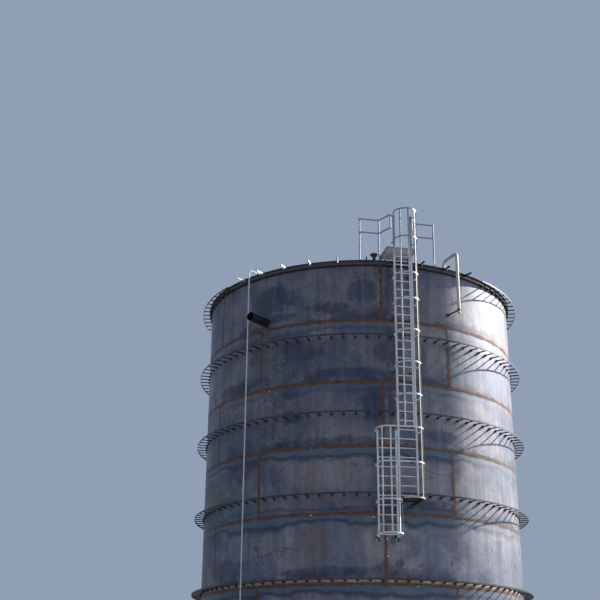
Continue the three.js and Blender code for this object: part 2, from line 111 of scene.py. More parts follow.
# %% [markdown]
# ## Shapes from arrays
# Every new piece is a surface worked out with numpy. Three ways of making one cover the whole tank:
# a profile carried along a path (bars, pipes, beads), a profile spun round an axis (plates, caps,
# bolts), and a plain block. A part is a pair: its points, and blocks of faces with equally many corners.

# %% Points and faces
def around(turn, out, up):
    """Points from an angle in degrees, a distance from the tank's axis and a height."""
    angle = np.radians(turn)
    return np.stack(np.broadcast_arrays(out * np.sin(angle), -out * np.cos(angle), up), axis=-1)


def closed(points, *blocks):
    """A closed part with its faces outwards: all are turned over where the signed volume of the fans of
    triangles between them and the middle is negative."""
    points = np.asarray(points, float).reshape(-1, 3)
    blocks = [np.asarray(faces) for faces in blocks]
    centred = points - points.mean(axis=0)
    volume = 0.0
    for faces in blocks:
        corner = centred[faces]
        volume += np.einsum("ik,ijk->", corner[:, 0], np.cross(corner[:, 1:-1], corner[:, 2:]))
    return points, [faces[:, ::-1] if volume < 0 else faces for faces in blocks]


def skinned(grid, wrap):
    """A grid of points as a closed part. Its columns join round; its rows join too when wrapped, or else
    end in a flat face each."""
    rows, columns = grid.shape[:2]
    row, column = np.mgrid[:rows if wrap else rows - 1, :columns]
    below, beside = (row + 1) % rows, (column + 1) % columns
    corners = [(row, column), (row, beside), (below, beside), (below, column)]
    walls = np.stack([r * columns + c for r, c in corners], axis=-1).reshape(-1, 4)
    if wrap:
        return closed(grid, walls)
    first = np.arange(columns)[None, ::-1]
    return closed(grid, walls, first, first[:, ::-1] + (rows - 1) * columns)


def joined(parts):
    """Several parts as one: the points after each other, the faces counted on."""
    starts = np.cumsum([0] + [len(points) for points, _ in parts[:-1]])
    blocks = [faces + start for (_, faces_of), start in zip(parts, starts) for faces in faces_of]
    return np.concatenate([points for points, _ in parts]), blocks


print("a point in front:", around(0, RADIUS, 1.0), "and one at the right:", around(90, RADIUS, 1.0).round(3))

# %% Copies of a part
def copied(copies, blocks):
    """Stacked copies of one part's points, with the faces of each copy counted on."""
    many, each = copies.shape[:2]
    starts = (np.arange(many) * each)[:, None, None]
    return copies.reshape(-1, 3), [(faces[None] + starts).reshape(-1, faces.shape[1]) for faces in blocks]


def turned(part, *turns):
    """Copies of a part, each turned by an angle in degrees about the tank's axis."""
    points, blocks = part
    angle = np.radians(np.asarray(turns, float))[:, None]
    x, y, z = points.T
    moved = np.stack([x * np.cos(angle) - y * np.sin(angle), x * np.sin(angle) + y * np.cos(angle),
                      np.broadcast_to(z, (len(angle), len(z)))], axis=-1)
    return copied(moved, blocks)


def moved_to(part, *places):
    """Copies of a part, each moved so that its origin is at a place."""
    return copied(part[0][None] + np.asarray(places, float)[:, None], part[1])


def aimed(part, place, direction):
    """A part built along +Z, turned so that +Z points along a direction, and put at a place."""
    points, blocks = part
    ahead = unit(np.asarray(direction, float))
    side = unit(np.cross([0.0, 0.0, 1.0] if abs(ahead[2]) < 0.9 else [1.0, 0.0, 0.0], ahead))
    return points @ np.stack([side, np.cross(ahead, side), ahead]) + np.asarray(place, float), blocks


def unit(vectors):
    """Vectors cut to length one."""
    return vectors / np.linalg.norm(vectors, axis=-1, keepdims=True)


print("a quarter turn moves the front to", turned((around(0, RADIUS, 0.0)[None], []), 90)[0].round(2))

# %% Profiles carried along a path or spun round an axis
def circle(radius, sides):
    """Points at equal angles on a circle."""
    angle = np.arange(sides) * 2 * np.pi / sides
    return np.stack([radius * np.cos(angle), radius * np.sin(angle)], axis=-1)


def flat(thick, tall):
    """The four corners of a flat bar's section."""
    return np.array([[-1, -1], [1, -1], [1, 1], [-1, 1]]) * [thick / 2, tall / 2]


def swept(path, profile, level=(0, 0, 1), wrap=False):
    """A profile carried along a path. Its first number goes along tangent x level, its second along
    the level way. At a bend the first is stretched by the mitre, one over the cosine of half the bend."""
    path = np.asarray(path, float)
    ahead = unit(np.roll(path, -1, axis=0) - path) if wrap else unit(np.diff(path, axis=0))
    behind = np.roll(ahead, 1, axis=0)
    if not wrap:
        behind = np.concatenate([ahead[:1], ahead])
        ahead = np.concatenate([ahead, ahead[-1:]])
    tangent = unit(ahead + behind)
    side = unit(np.cross(tangent, level))
    up = np.cross(side, tangent)
    side = side * np.sqrt(2 / (1 + np.einsum("ij,ij->i", ahead, behind)))[:, None]
    return skinned(path[:, None] + profile[None, :, :1] * side[:, None] + profile[None, :, 1:] * up[:, None], wrap)


def spun(profile, sides, wrap=False, at=(0, 0)):
    """A profile of [radius, height] points, counted from a radius and a height, turned about Z. Its
    ends are closed by flat faces, or the profile closes on itself."""
    profile = np.asarray(profile, float) + at
    angle = np.arange(sides) * 2 * np.pi / sides
    return skinned(np.stack([profile[:, :1] * np.sin(angle), -profile[:, :1] * np.cos(angle),
                             np.repeat(profile[:, 1:], sides, axis=1)], axis=-1), wrap)


def sleeve(inner, wall, middle, tall, sides):
    """A short tube with walls, from half its height below a middle to half above it."""
    return spun([[0, -tall], [wall, -tall], [wall, tall], [0, tall]], sides, True, (inner, middle))


print("a sleeve of 16 sides has", len(sleeve(0.1, 0.01, 0, 0.02, 16)[0]), "points")

# %% Blocks, bars and bent paths
def block(low, high):
    """A plain block between its lowest and its highest corner."""
    pick = np.array([[i >> 2 & 1, i >> 1 & 1, i & 1] for i in range(8)])
    faces = [[0, 1, 3, 2], [4, 6, 7, 5], [0, 4, 5, 1], [2, 3, 7, 6], [0, 2, 6, 4], [1, 5, 7, 3]]
    return closed(np.where(pick, high, low), np.array(faces))


def beam(x, z, wide, tall, start, end):
    """A block along y from its start to its end. It reaches half its width and height round x and z."""
    return block((x - wide, start, z - tall), (x + wide, end, z + tall))


def post(x, y, wide, deep, low, high):
    """A block that stands round x and y from a low to a high end."""
    return block((x - wide, y - deep, low), (x + wide, y + deep, high))


def rounded(corners, reach, steps=6):
    """A path whose inner corners give way to curves that start and end a reach away from them."""
    corners = np.asarray(corners, float)
    share = np.linspace(0, 1, steps + 1)[:, None]
    path = [corners[:1]]
    for before, corner, after in zip(corners, corners[1:], corners[2:]):
        start = corner + unit(before - corner) * reach
        end = corner + unit(after - corner) * reach
        path.append((1 - share) ** 2 * start + 2 * share * (1 - share) * corner + share**2 * end)
    return np.concatenate([*path, corners[-1:]])


def rod(start, end, radius, sides=12):
    """A round bar between two points."""
    ends = np.array([start, end], float)
    steep = abs(unit(ends[1] - ends[0])[2]) >= 0.9
    return swept(ends, circle(radius, sides), (1, 0, 0) if steep else (0, 0, 1))


print("a rod of 12 sides has", sum(len(b) for b in rod((0, 0, 0), (0, 0, 1), 0.02)[1]), "faces")

# %% Putting a part into the scene
SMOOTH_BELOW = 35


def placed(name, data):
    """A new object in the scene, for a mesh, a lamp or a camera."""
    thing = bpy.data.objects.new(name, data)
    bpy.context.scene.collection.objects.link(thing)
    return thing


def piece(name, part, material, slot, *nodes):
    """A part as one mesh object at the origin, smooth where faces meet at less than an angle. It
    stands in for the nodes that are named."""
    points, blocks = part
    mesh = bpy.data.meshes.new(name)
    mesh.from_pydata(points.tolist(), [], [face for faces in blocks for face in faces.tolist()])
    mesh.shade_smooth()
    mesh.set_sharp_from_angle(angle=math.radians(SMOOTH_BELOW))
    mesh.materials.append(material)
    thing = placed(name, mesh)
    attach(thing, "root")
    if nodes:
        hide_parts(*nodes)
    print(name, "has", sum(len(faces) * (faces.shape[1] - 2) for faces in blocks), "triangles")


print("faces are smooth where they meet at less than", SMOOTH_BELOW, "degrees")

# %% [markdown]
# ## Finishes
# Bare steel is many thin layers over each other: the dark scale of the rolling mill, water streaks,
# heat colours beside the welds, rust, and specks of weld metal. Each layer that more than one finish
# uses is a shader node group, and a finish mixes them with its own values. All patterns are read in
# Object coordinates, which are metres here, because each piece's object sits at the origin.
# The class below lets a shader be written as a sum: a wire is what comes out of a node, and `a * b`
# adds a Math node that multiplies two wires.

# %% Wires between shader nodes
class Wire:
    """An output socket and the node tree that it is in. Each sum with a wire adds a Math node there."""

    def __init__(self, socket):
        self.socket, self.tree = socket, socket.id_data

    def __add__(self, other):
        return calc("ADD", self, other)

    def __sub__(self, other):
        return calc("SUBTRACT", self, other)

    def __rsub__(self, other):
        return calc("SUBTRACT", other, self)

    def __mul__(self, other):
        return calc("MULTIPLY", self, other)

    def __truediv__(self, other):
        return calc("DIVIDE", self, other)

    def __rtruediv__(self, other):
        return calc("DIVIDE", other, self)


def feed(socket, value):
    """Links a wire into a socket, or sets the socket to a plain value."""
    if isinstance(value, Wire):
        value.tree.links.new(value.socket, socket)
    else:
        socket.default_value = value


def add(kind, inputs, **settings):
    """A new node in the tree of its first wire. Its inputs go by place or by name. Its outputs come back."""
    tree = next(value.tree for value in inputs.values() if isinstance(value, Wire))
    node = tree.nodes.new("ShaderNode" + kind)
    for label, value in settings.items():
        setattr(node, label, value)
    for label, value in inputs.items():
        feed(node.inputs[label], value)
    return [Wire(socket) for socket in node.outputs]


def calc(operation, *values):
    """One Math node."""
    return add("Math", dict(enumerate(values)), operation=operation)[0]


def vectors(operation, *values):
    """One Vector Math node. A length, a distance or a dot product is a number, all else a vector."""
    outputs = add("VectorMath", dict(enumerate(values)), operation=operation)
    return outputs[1 if operation in ("LENGTH", "DISTANCE", "DOT_PRODUCT") else 0]


print("wires can be added, subtracted, multiplied and divided")

# %% Patterns and colours from nodes
def drawn(vector, tall):
    """A vector with its height multiplied: by less than one, it draws a pattern out upwards."""
    return vectors("MULTIPLY", vector, (1.0, 1.0, tall))


def split(wire, kind="XYZ"):
    """The three numbers of a vector or a colour."""
    return add("Separate" + kind, {0: wire})


def fade(value, start, end, low=0.0, high=1.0):
    """A value eased from low to high as the input goes from start to end."""
    return add("MapRange", dict(enumerate((value, start, end, low, high))), interpolation_type="SMOOTHSTEP")[0]


def noise(vector, scale, detail=4.0, rough=0.55, twist=0.0):
    """Cloudy noise from 0 to 1, mostly near a half."""
    return add("TexNoise", dict(Vector=vector, Scale=scale, Detail=detail, Roughness=rough, Distortion=twist))[0]


def cells(vector, scale):
    """Voronoi cells: the distance to a cell's middle, and its random colour."""
    return add("TexVoronoi", dict(Vector=vector, Scale=scale))[:2]


def paint(*levels):
    """A colour given as it looks on a screen, from 0 to 255, as the linear values that Blender uses."""
    share = np.array(levels) / 255
    linear = np.where(share <= 0.04045, share / 12.92, ((share + 0.055) / 1.055) ** 2.4)
    return (*(float(x) for x in linear), 1.0)


def mixed(share, first, second, blend="MIX"):
    """Two colours mixed by a share. A colour is a wire, or three levels from 0 to 255."""
    first, second = (colour if isinstance(colour, Wire) else paint(*colour) for colour in (first, second))
    return add("Mix", {0: share, 6: first, 7: second}, data_type="RGBA", blend_type=blend, clamp_factor=True)[2]


def shaded(colour, value):
    """A colour with its three parts multiplied by a value."""
    return mixed(1.0, colour, add("CombineColor", {0: value, 1: value, 2: value})[0], "MULTIPLY")


print("a mid grey is", [round(x, 3) for x in paint(128, 128, 128)])

# %% [markdown]
# ### Node groups
# A function says what a group makes of its inputs. The group's sockets are set up round it, and the
# same function can then be used in any finish as one node.

# %% Making and using a node group
KINDS = {"VALUE": "NodeSocketFloat", "RGBA": "NodeSocketColor", "VECTOR": "NodeSocketVector"}
ORIGIN = (0.0, 0.0, 0.0)


def effect(name, make, **inputs):
    """A node group with inputs of some first values, and with what a function makes of them by name."""
    group = bpy.data.node_groups.new(name, "ShaderNodeTree")
    for label, value in inputs.items():
        kind = KINDS["VECTOR" if isinstance(value, tuple) else "VALUE"]
        group.interface.new_socket(label, in_out="INPUT", socket_type=kind).default_value = value
    given = group.nodes.new("NodeGroupInput").outputs
    made = make(*(Wire(given[label]) for label in inputs))
    for label, wire in made.items():
        group.interface.new_socket(label, in_out="OUTPUT", socket_type=KINDS[wire.socket.type])
    end = group.nodes.new("NodeGroupOutput")
    for label, wire in made.items():
        feed(end.inputs[label], wire)
    print("group", name, "with", len(group.nodes), "nodes")
    return group


def use(group, **values):
    """A group placed in the tree of its first wire, with its inputs fed and its outputs given by name."""
    return {wire.socket.name: wire for wire in add("Group", values, node_tree=group)}


print("a group's sockets are of", len(KINDS), "kinds")

# %% [markdown]
# ### Where a point lies on the shell
# The plates are 6 m by 2 m, and their upright joints step by half a plate from course to course, with one
# short plate at the back that closes the ring. This group works out from a point's angle and height
# how far it is from the nearest upright weld, and how far above and below the nearest level welds. It
# also gives the point's place on the wall rolled out flat, for marks that lie at one place only.

# %% Effect: places on the shell
def shell_places(vector):
    """Angle = atan2(x, -y), counted from the first joint of the course and folded into one plate. The
    distance to the nearest joint is the folded angle times the radius."""
    x, y, z = split(vector)
    angle = calc("DEGREES", calc("ARCTAN2", x, y * -1.0))
    level = calc("FLOOR", z / COURSE)
    even = calc("PINGPONG", level, 1.0)
    first = calc("MULTIPLY_ADD", even, EVEN_SEAM - ODD_SEAM, ODD_SEAM - 2 * PLATE_TURN)
    along = calc("WRAP", angle - first, 360.0, 0.0)
    nearest = calc("MINIMUM", calc("PINGPONG", along, PLATE_TURN / 2), 360.0 - along)
    above = calc("WRAP", z, COURSE, 0.0)
    plate_number = calc("MULTIPLY_ADD", level, 7.0, calc("FLOOR", along / PLATE_TURN))
    metres_a_degree = math.radians(RADIUS)
    return {
        "Across": nearest * metres_a_degree, "Above": above, "Below": COURSE - above, "Height": z, "Turn": angle,
        "Plate": add("TexWhiteNoise", {"W": plate_number}, noise_dimensions="1D")[0],
        "Place": add("CombineXYZ", {"X": angle * metres_a_degree, "Z": z})[0],
    }


PLACES = effect("Shell places", shell_places, Vector=ORIGIN)

# %% [markdown]
# ### Effects
# Scale, streaks and rust are clouds of noise. They differ in size, in how far they are drawn out
# upwards and in how sharply they fade. Specks are the middles of random cells. Each is a group of its
# own, because more than one layer or finish uses it.

# %% Effects: scale, streaks, rust, specks and marks
def mill_scale(vector, size):
    """Clouds of three sizes: wide soft fields, patches with a crisp edge where scale is thicker, grain."""
    wide = noise(vector, 0.55 / size, 5.0, 0.6, 0.4)
    crisp = noise(vector, 0.42 / size, 6.0, 0.45, 0.9)
    grain = noise(vector, 9.0 / size, 6.0, 0.7)
    return {"Field": fade(wide, 0.36, 0.64), "Patch": fade(crisp, 0.57, 0.6), "Grain": grain}


def rain_streaks(vector, fine):
    """Noise drawn out downwards: the vector's height counts for little, so a blot becomes a streak."""
    streak = noise(drawn(vector, 0.05), fine, 5.0, 0.65)
    runs = noise(drawn(vector, 0.02), fine, 3.0, 0.7)
    return {"Streak": fade(streak, 0.3, 0.7), "Runs": fade(runs, 0.58, 0.7)}


def weld_rust(vector, distance, width):
    """Full within a width that wavers with noise, and gone at twice of it. Its colour goes from dark
    brown to orange by a finer noise."""
    wavering = width * fade(noise(vector, 2.3, 5.0, 0.7), 0.3, 0.7, 0.45, 1.5)
    fleck = noise(vector, 7.0, 4.0, 0.75)
    brown = mixed(fade(fleck, 0.35, 0.58), (54, 38, 28), (102, 65, 37))
    return {"Mask": fade(distance / wavering, 1.6, 0.5),
            "Colour": mixed(fade(fleck, 0.58, 0.72), brown, (156, 98, 48))}


def specks(vector, scale, size, share):
    """Small round spots: points nearer to a cell's middle than a size, in a share of the cells."""
    distance, colour = cells(vector, scale)
    chosen = calc("LESS_THAN", split(colour, "Color")[0], share)
    return {"Mask": calc("LESS_THAN", distance, size) * chosen}


def blot(place, middle, scale, ruffle):
    """One inside and nought outside, by the distance counted in half sizes plus a ruffle."""
    near = vectors("LENGTH", vectors("MULTIPLY", vectors("SUBTRACT", place, middle), scale))
    return {"Share": fade(near + ruffle, 1.22, 0.68)}


def stroke(place, start, along, pull):
    """Distance from a line: what remains of a place once it is drawn onto the line between its ends."""
    away = vectors("SUBTRACT", place, start)
    share = add("Clamp", {0: vectors("DOT_PRODUCT", away, pull)})[0]
    on_line = add("VectorMath", {0: along, "Scale": share}, operation="SCALE")[0]
    return {"Distance": vectors("DISTANCE", away, on_line)}


SCALE = effect("Mill scale", mill_scale, Vector=ORIGIN, Size=1.0)
STREAKS = effect("Rain streaks", rain_streaks, Vector=ORIGIN, Fine=5.0)
RUST = effect("Weld rust", weld_rust, Vector=ORIGIN, Distance=1.0, Width=0.03)
SPECKS = effect("Specks", specks, Vector=ORIGIN, Scale=6.0, Size=0.1, Share=0.3)
BLOT = effect("Blot", blot, Place=ORIGIN, Middle=ORIGIN, Scale=(1.0, 1.0, 1.0), Ruffle=0.0)
STROKE = effect("Stroke", stroke, Place=ORIGIN, From=ORIGIN, Along=(1.0, 0.0, 0.0), Pull=(1.0, 0.0, 0.0))

# %% [markdown]
# ### A finish and its shader
# A finish starts with one Principled shader. What is the same all over is set on its sockets, and only
# what changes over the surface is linked.

# %% A finish to start from
def finish(name, metallic=0.6, roughness=0.5):
    """A material, and the point's Object coordinates in it."""
    material = bpy.data.materials.new(name)
    material.use_nodes = True
    nodes = material.node_tree.nodes
    nodes["Principled BSDF"].inputs["Metallic"].default_value = metallic
    nodes["Principled BSDF"].inputs["Roughness"].default_value = roughness
    return material, Wire(nodes.new("ShaderNodeTexCoord").outputs["Object"])


def dressed(material, colour, height=None, depth=0.002, **others):
    """The material with a colour, a bump of a depth in metres, and other values of its shader by name,
    with a stroke for each blank."""
    inputs = material.node_tree.nodes["Principled BSDF"].inputs
    feed(inputs["Base Color"], colour)
    for label, value in others.items():
        feed(inputs[label.replace("_", " ")], value)
    if height:
        feed(inputs["Normal"], add("Bump", dict(Strength=1.0, Distance=depth, Height=height))[0])
    print("finish", material.name, "with", len(material.node_tree.nodes), "nodes")
    return material


print("finishes so far:", len(bpy.data.materials))

# %% [markdown]
# ### Marks at one place
# Where a plate was heated, stacked or dragged, its scale took up a mark of its own. The largest dark blot,
# low at the left edge, is a painted dark reflection instead. Each blot is an angle, a height and two half
# sizes in metres, and each drawn line is a row of angles and heights.

# %% Places of the marks
DARK_BLOTS_AND_REFLECTION = [
    (-30.5, 13.01, 0.9, 0.47), (2.2, 13.01, 0.5, 0.4), (10.6, 13.04, 0.18, 0.75), (-11.2, 12.46, 0.65, 0.2),
    (-27.6, 12.32, 0.72, 0.14), (-21.4, 11.1, 0.98, 0.42), (8.3, 11.03, 0.32, 0.4), (12.0, 11.02, 0.35, 0.66),
    (21.9, 10.93, 0.14, 0.52), (-47.1, 10.29, 1.44, 0.22), (-3.7, 10.31, 1.49, 0.15), (10.7, 9.25, 0.14, 0.44),
    (4.9, 9.25, 0.38, 0.55), (-23.1, 9.76, 0.3, 0.21), (-24.3, 9.0, 0.42, 0.24), (-12.1, 8.12, 1.9, 0.2),
    (28.5, 8.38, 0.64, 0.22), (-45.4, 7.62, 0.9, 0.48), (-61.0, 6.5, 1.07, 0.24),
    (-8.8, 4.32, 1.6, 0.16), (-55.2, 4.6, 1.14, 0.3), (12.3, 4.58, 0.12, 0.13), (30.2, 4.66, 0.07, 0.07),
    (-65.2, 5.68, 0.5, 0.64), (10.3, 5.21, 0.09, 0.14), (-29.2, 10.95, 0.13, 0.09), (-40.2, 11.04, 0.1, 0.12),
    (-36.2, 5.11, 0.04, 0.07), (-35.9, 4.64, 0.05, 0.08), (34.3, 13.4, 0.03, 0.09), (34.8, 12.95, 0.03, 0.17),
    # The first blot on this line, large and low at the left edge, is a painted dark reflection.
    (-80.0, 5.0, 1.7, 1.15), (15.0, 6.33, 1.1, 0.13), (-68.0, 7.3, 0.7, 0.3), (-60.0, 6.95, 0.7, 0.25),
    (-54.0, 6.65, 0.7, 0.28), (-74.0, 6.35, 1.3, 0.35),
]
TEAL_BLOTS = [
    (-9.5, 9.83, 0.94, 0.16), (-48.9, 9.77, 0.35, 0.19), (-56.8, 7.38, 0.88, 0.29), (-45.8, 6.89, 0.65, 0.36),
    (-46.7, 6.34, 1.13, 0.2),
]
BROWN_BLOTS = [
    (-61.4, 6.84, 0.85, 0.36), (-15.6, 7.01, 0.2, 0.73), (-10.4, 6.49, 0.53, 0.15), (-14.3, 5.08, 0.5, 0.63),
    (-44.3, 7.54, 0.35, 0.17), (27.9, 13.77, 0.05, 0.24),
]
DARK_LINES = [
    [(-40.0, 5.68), (-39.0, 5.52), (-36.3, 5.44), (-33.8, 5.49), (-32.4, 5.64), (-32.0, 5.88)],
    [(-20.9, 5.72), (-20.2, 5.57), (-18.8, 5.46), (-17.1, 5.41)],
    [(-38.7, 4.75), (-36.1, 4.87), (-32.5, 4.88), (-30.4, 4.95), (-27.3, 5.07), (-23.3, 5.06), (-21.5, 4.96)],
    [(-27.7, 5.0), (-26.2, 4.96), (-26.1, 4.84), (-26.7, 4.77), (-27.5, 4.85), (-27.7, 5.0)],
    [(-29.5, 9.63), (-30.2, 9.26), (-28.5, 8.85), (-27.7, 8.47), (-28.4, 8.16)],
    [(-35.0, 9.58), (-33.3, 9.69), (-31.1, 9.62), (-29.9, 9.44), (-27.1, 9.34)],
    [(-26.1, 8.32), (-22.0, 8.38), (-19.1, 8.45), (-21.3, 8.28), (-22.0, 8.07)],
    [(-27.0, 7.34), (-24.8, 7.51), (-23.0, 7.62)], [(-11.2, 7.54), (-6.9, 7.62)],
    [(-29.1, 13.7), (-29.0, 12.75)], [(21.6, 7.35), (25.5, 7.26), (30.1, 7.24)],
    [(30.3, 4.82), (33.4, 4.78), (35.8, 4.59)], [(25.4, 13.9), (25.1, 13.2)],
]
print(len(DARK_BLOTS_AND_REFLECTION) + len(TEAL_BLOTS) + len(BROWN_BLOTS), "blots and", len(DARK_LINES), "lines")

# %% [markdown]
# ### The layers of the shell
# Each layer takes what is known about the point and the colour so far, and gives the colour after it.

# %% The plate under the layers, and how a mark is found
def plate_base(where, size=1.0):
    """Slate grey scale with bluish patches, streaks and fine grain: its colour, and what it was made of."""
    scale = use(SCALE, Vector=where, Size=size)
    streaks = use(STREAKS, Vector=where, Fine=4.5)
    colour = mixed(scale["Field"], (88, 93, 109), (123, 121, 128))
    colour = mixed(scale["Patch"] * 0.4, colour, (62, 72, 95))
    colour = shaded(colour, fade(streaks["Streak"], 0.0, 1.0, 0.88, 1.2))
    return shaded(colour, fade(scale["Grain"], 0.3, 0.7, 0.88, 1.1)), {**scale, **streaks}


def on_wall(turn, height):
    """A place on the wall rolled out flat."""
    return math.radians(turn) * RADIUS, 0.0, height


def blotted(place, ruffle, blots):
    """The greatest share of several blots."""
    most = 0.0
    for turn, height, wide, tall in blots:
        per_size = (1 / wide, 0, 1 / tall)
        share = use(BLOT, Place=place, Middle=on_wall(turn, height), Scale=per_size, Ruffle=ruffle)
        most = calc("MAXIMUM", most, share["Share"])
    return most


def nearest_line(place, lines):
    """The distance to the nearest of several lines."""
    least = 1.0
    for start, end in [ends for line in lines for ends in zip(line, line[1:])]:
        first = np.array(on_wall(*start))
        along = np.array(on_wall(*end)) - first
        pull = along / (along @ along)
        far = use(STROKE, Place=place, From=tuple(first), Along=tuple(along), Pull=tuple(pull))
        least = calc("MINIMUM", least, far["Distance"])
    return least


print("the first blot lies at", [round(x, 2) for x in on_wall(*DARK_BLOTS_AND_REFLECTION[0][:2])], "on the wall rolled out")

# %% Layers: scale and marks
DARK_SCALE = (48, 54, 73)
DARK_MARK = (50, 58, 81)
TEAL = (62, 88, 104)
BROWN = (112, 94, 84)
LINE = (40, 42, 52)


def ragged(where):
    """What blots' edges are shifted by, and how dense they are: clouds with level wisps, and streaks."""
    cloud = noise(where, 1.9, 8.0, 0.7, 0.3)
    wisp = noise(drawn(where, 3.0), 3.5, 5.0, 0.7)
    shift = calc("MULTIPLY_ADD", cloud, 2.6, -1.3) + calc("MULTIPLY_ADD", wisp, 1.3, -0.65)
    return cloud, shift, fade(noise(drawn(where, 0.2), 5.0, 5.0, 0.65), 0.3, 0.7, 0.5, 1.0)


def dark_marks(at, colour):
    """The dark blots, densest in their middles. The largest, low at the left edge, is a painted dark reflection."""
    _, ruffle, dense = ragged(at["Where"])
    return mixed(blotted(at["Place"], ruffle, DARK_BLOTS_AND_REFLECTION) * dense * 0.84, colour, DARK_MARK)


def coloured_marks(at, colour):
    """The bluish and the brown blots, and the drawn lines."""
    cloud, ruffle, dense = ragged(at["Where"])
    for blots, share, tint in ((TEAL_BLOTS, 0.6, TEAL), (BROWN_BLOTS, 0.5, BROWN)):
        colour = mixed(blotted(at["Place"], ruffle, blots) * dense * share, colour, tint)
    line = nearest_line(at["Place"], DARK_LINES) + (cloud - 0.5) * 0.03
    return mixed(fade(line, 0.024, 0.006) * 0.5, colour, LINE)


def dark_clouds(at, colour):
    """Thicker scale just above the welds, in clouds that fade upwards, and small smudges anywhere."""
    cloud = noise(at["Where"], 0.9, 6.0, 0.65, 0.6)
    above = fade(at["Above"] / fade(cloud, 0.42, 0.66, 0.05, 0.65), 1.15, 0.1)
    beside = fade(at["Across"], 0.7, 0.1) * fade(cloud, 0.5, 0.62)
    smudge = fade(noise(drawn(at["Where"], 1.5), 1.3, 9.0, 0.72, 0.7), 0.56, 0.66)
    colour = mixed(beside * 0.55, mixed(above * 0.75, colour, DARK_SCALE), DARK_SCALE)
    return mixed(smudge * 0.5, colour, (50, 56, 72))


print("dark scale is", [round(x, 3) for x in paint(*DARK_SCALE)[:3]])

# %% Layers: heat, rust and water
def key_lit_side(at):
    """One where the key light falls, from 55 to 115 degrees round, fading out by 30 and by 150, nought elsewhere."""
    return fade(at["Turn"], 30.0, 55.0) * fade(at["Turn"], 150.0, 115.0)


def heat_stain(where, far, strength, colour):
    """Bluish steel within a wavering distance of a weld, lined by darker scale."""
    ratio = far / fade(noise(drawn(where, 0.4), 1.1, 3.0, 0.5), 0.3, 0.7, 0.16, 0.32)
    dense = fade(noise(drawn(where, 0.15), 5.0, 4.0, 0.6), 0.3, 0.7, 0.7, 1.0)
    colour = mixed(fade(ratio, 1.12, 0.7) * strength * dense, colour, (69, 95, 115))
    return mixed(fade(ratio, 0.7, 1.02) * fade(ratio, 1.75, 1.04) * strength, colour, (51, 58, 78))


def heat_bands(at, colour):
    """Heat stains under the level welds: strong on the four lower ones, weaker in the next two, paler
    where the key light falls, as painted light, none at the roof's edge. The third weld has one above it too."""
    where, height = at["Where"], at["Height"]
    strong = fade(height, 4 * COURSE, 4 * COURSE + 0.01, 0.85, 0.0)
    patches = fade(noise(where, 0.7, 4.0, 0.55), 0.4, 0.6, 0.0, 0.55)
    weak = patches * fade(height, 6 * COURSE - 0.01, 6 * COURSE, 1.0, 0.0)
    # Painted light: the heat stains lose almost half their strength where the key light falls.
    kept_off_lit_side = calc("MULTIPLY_ADD", key_lit_side(at), -0.45, 1.0)
    colour = heat_stain(where, at["Below"], calc("MAXIMUM", strong, weak) * kept_off_lit_side, colour)
    third = fade(height, 3 * COURSE - 0.01, 3 * COURSE) * fade(height, 4 * COURSE, 3.5 * COURSE)
    return heat_stain(where, at["Above"] * 1.6, third * 0.6 * kept_off_lit_side, colour)


def under_edge(at, colour):
    """Dark rust and painted shade under the roof's edge, and dark runs of water that fade down the top course."""
    down = EDGE_FOOT - at["Height"]
    colour = mixed(at["Runs"] * fade(down, 0.9, 0.05) * 0.5, colour, (62, 58, 66))
    # A band of dark rust and painted shade just under the edge angle.
    return mixed(fade(down, 0.07, 0.03) * 0.9, colour, (44, 33, 32))


def rust_bloom(at, colour):
    """Rust in uneven columns on the two uppermost level welds, and a little below, where the key light falls."""
    height = at["Height"]
    reach = fade(noise(drawn(at["Where"], 0.12), 3.4, 6.0, 0.72), 0.4, 0.66, 0.07, 0.42)
    near = calc("MAXIMUM", fade(at["Above"] / reach, 1.0, 0.05), fade(at["Below"] / reach, 0.6, 0.05))
    zone = fade(height, 5 * COURSE - 0.3, 5 * COURSE - 0.2) * fade(height, TOP - 0.4, TOP - 0.5)
    fleck = fade(noise(at["Where"], 6.0, 6.0, 0.75), 0.4, 0.6, 0.35, 1.0)
    return mixed(near * fleck * zone * key_lit_side(at) * 0.85, colour, (108, 80, 56))


def salmon_band(at, colour):
    """A pale orange band of rust as high as a hand above the weld between the second and third course."""
    height = at["Height"] - 2 * COURSE
    upper = fade(noise(at["Where"], 1.6, 4.0, 0.7), 0.3, 0.7, 0.14, 0.19)
    inside = fade(height, upper, upper - 0.05) * calc("GREATER_THAN", height, 0.0)
    flecks = noise(drawn(at["Where"], 0.25), 6.0, 4.0, 0.7)
    return mixed(inside * 0.9, colour, mixed(fade(flecks, 0.35, 0.65), (154, 126, 112), (186, 158, 142)))


print("heat stains end", 6 * COURSE, "m up, and rust blooms from", round(5 * COURSE - 0.3, 2), "m")

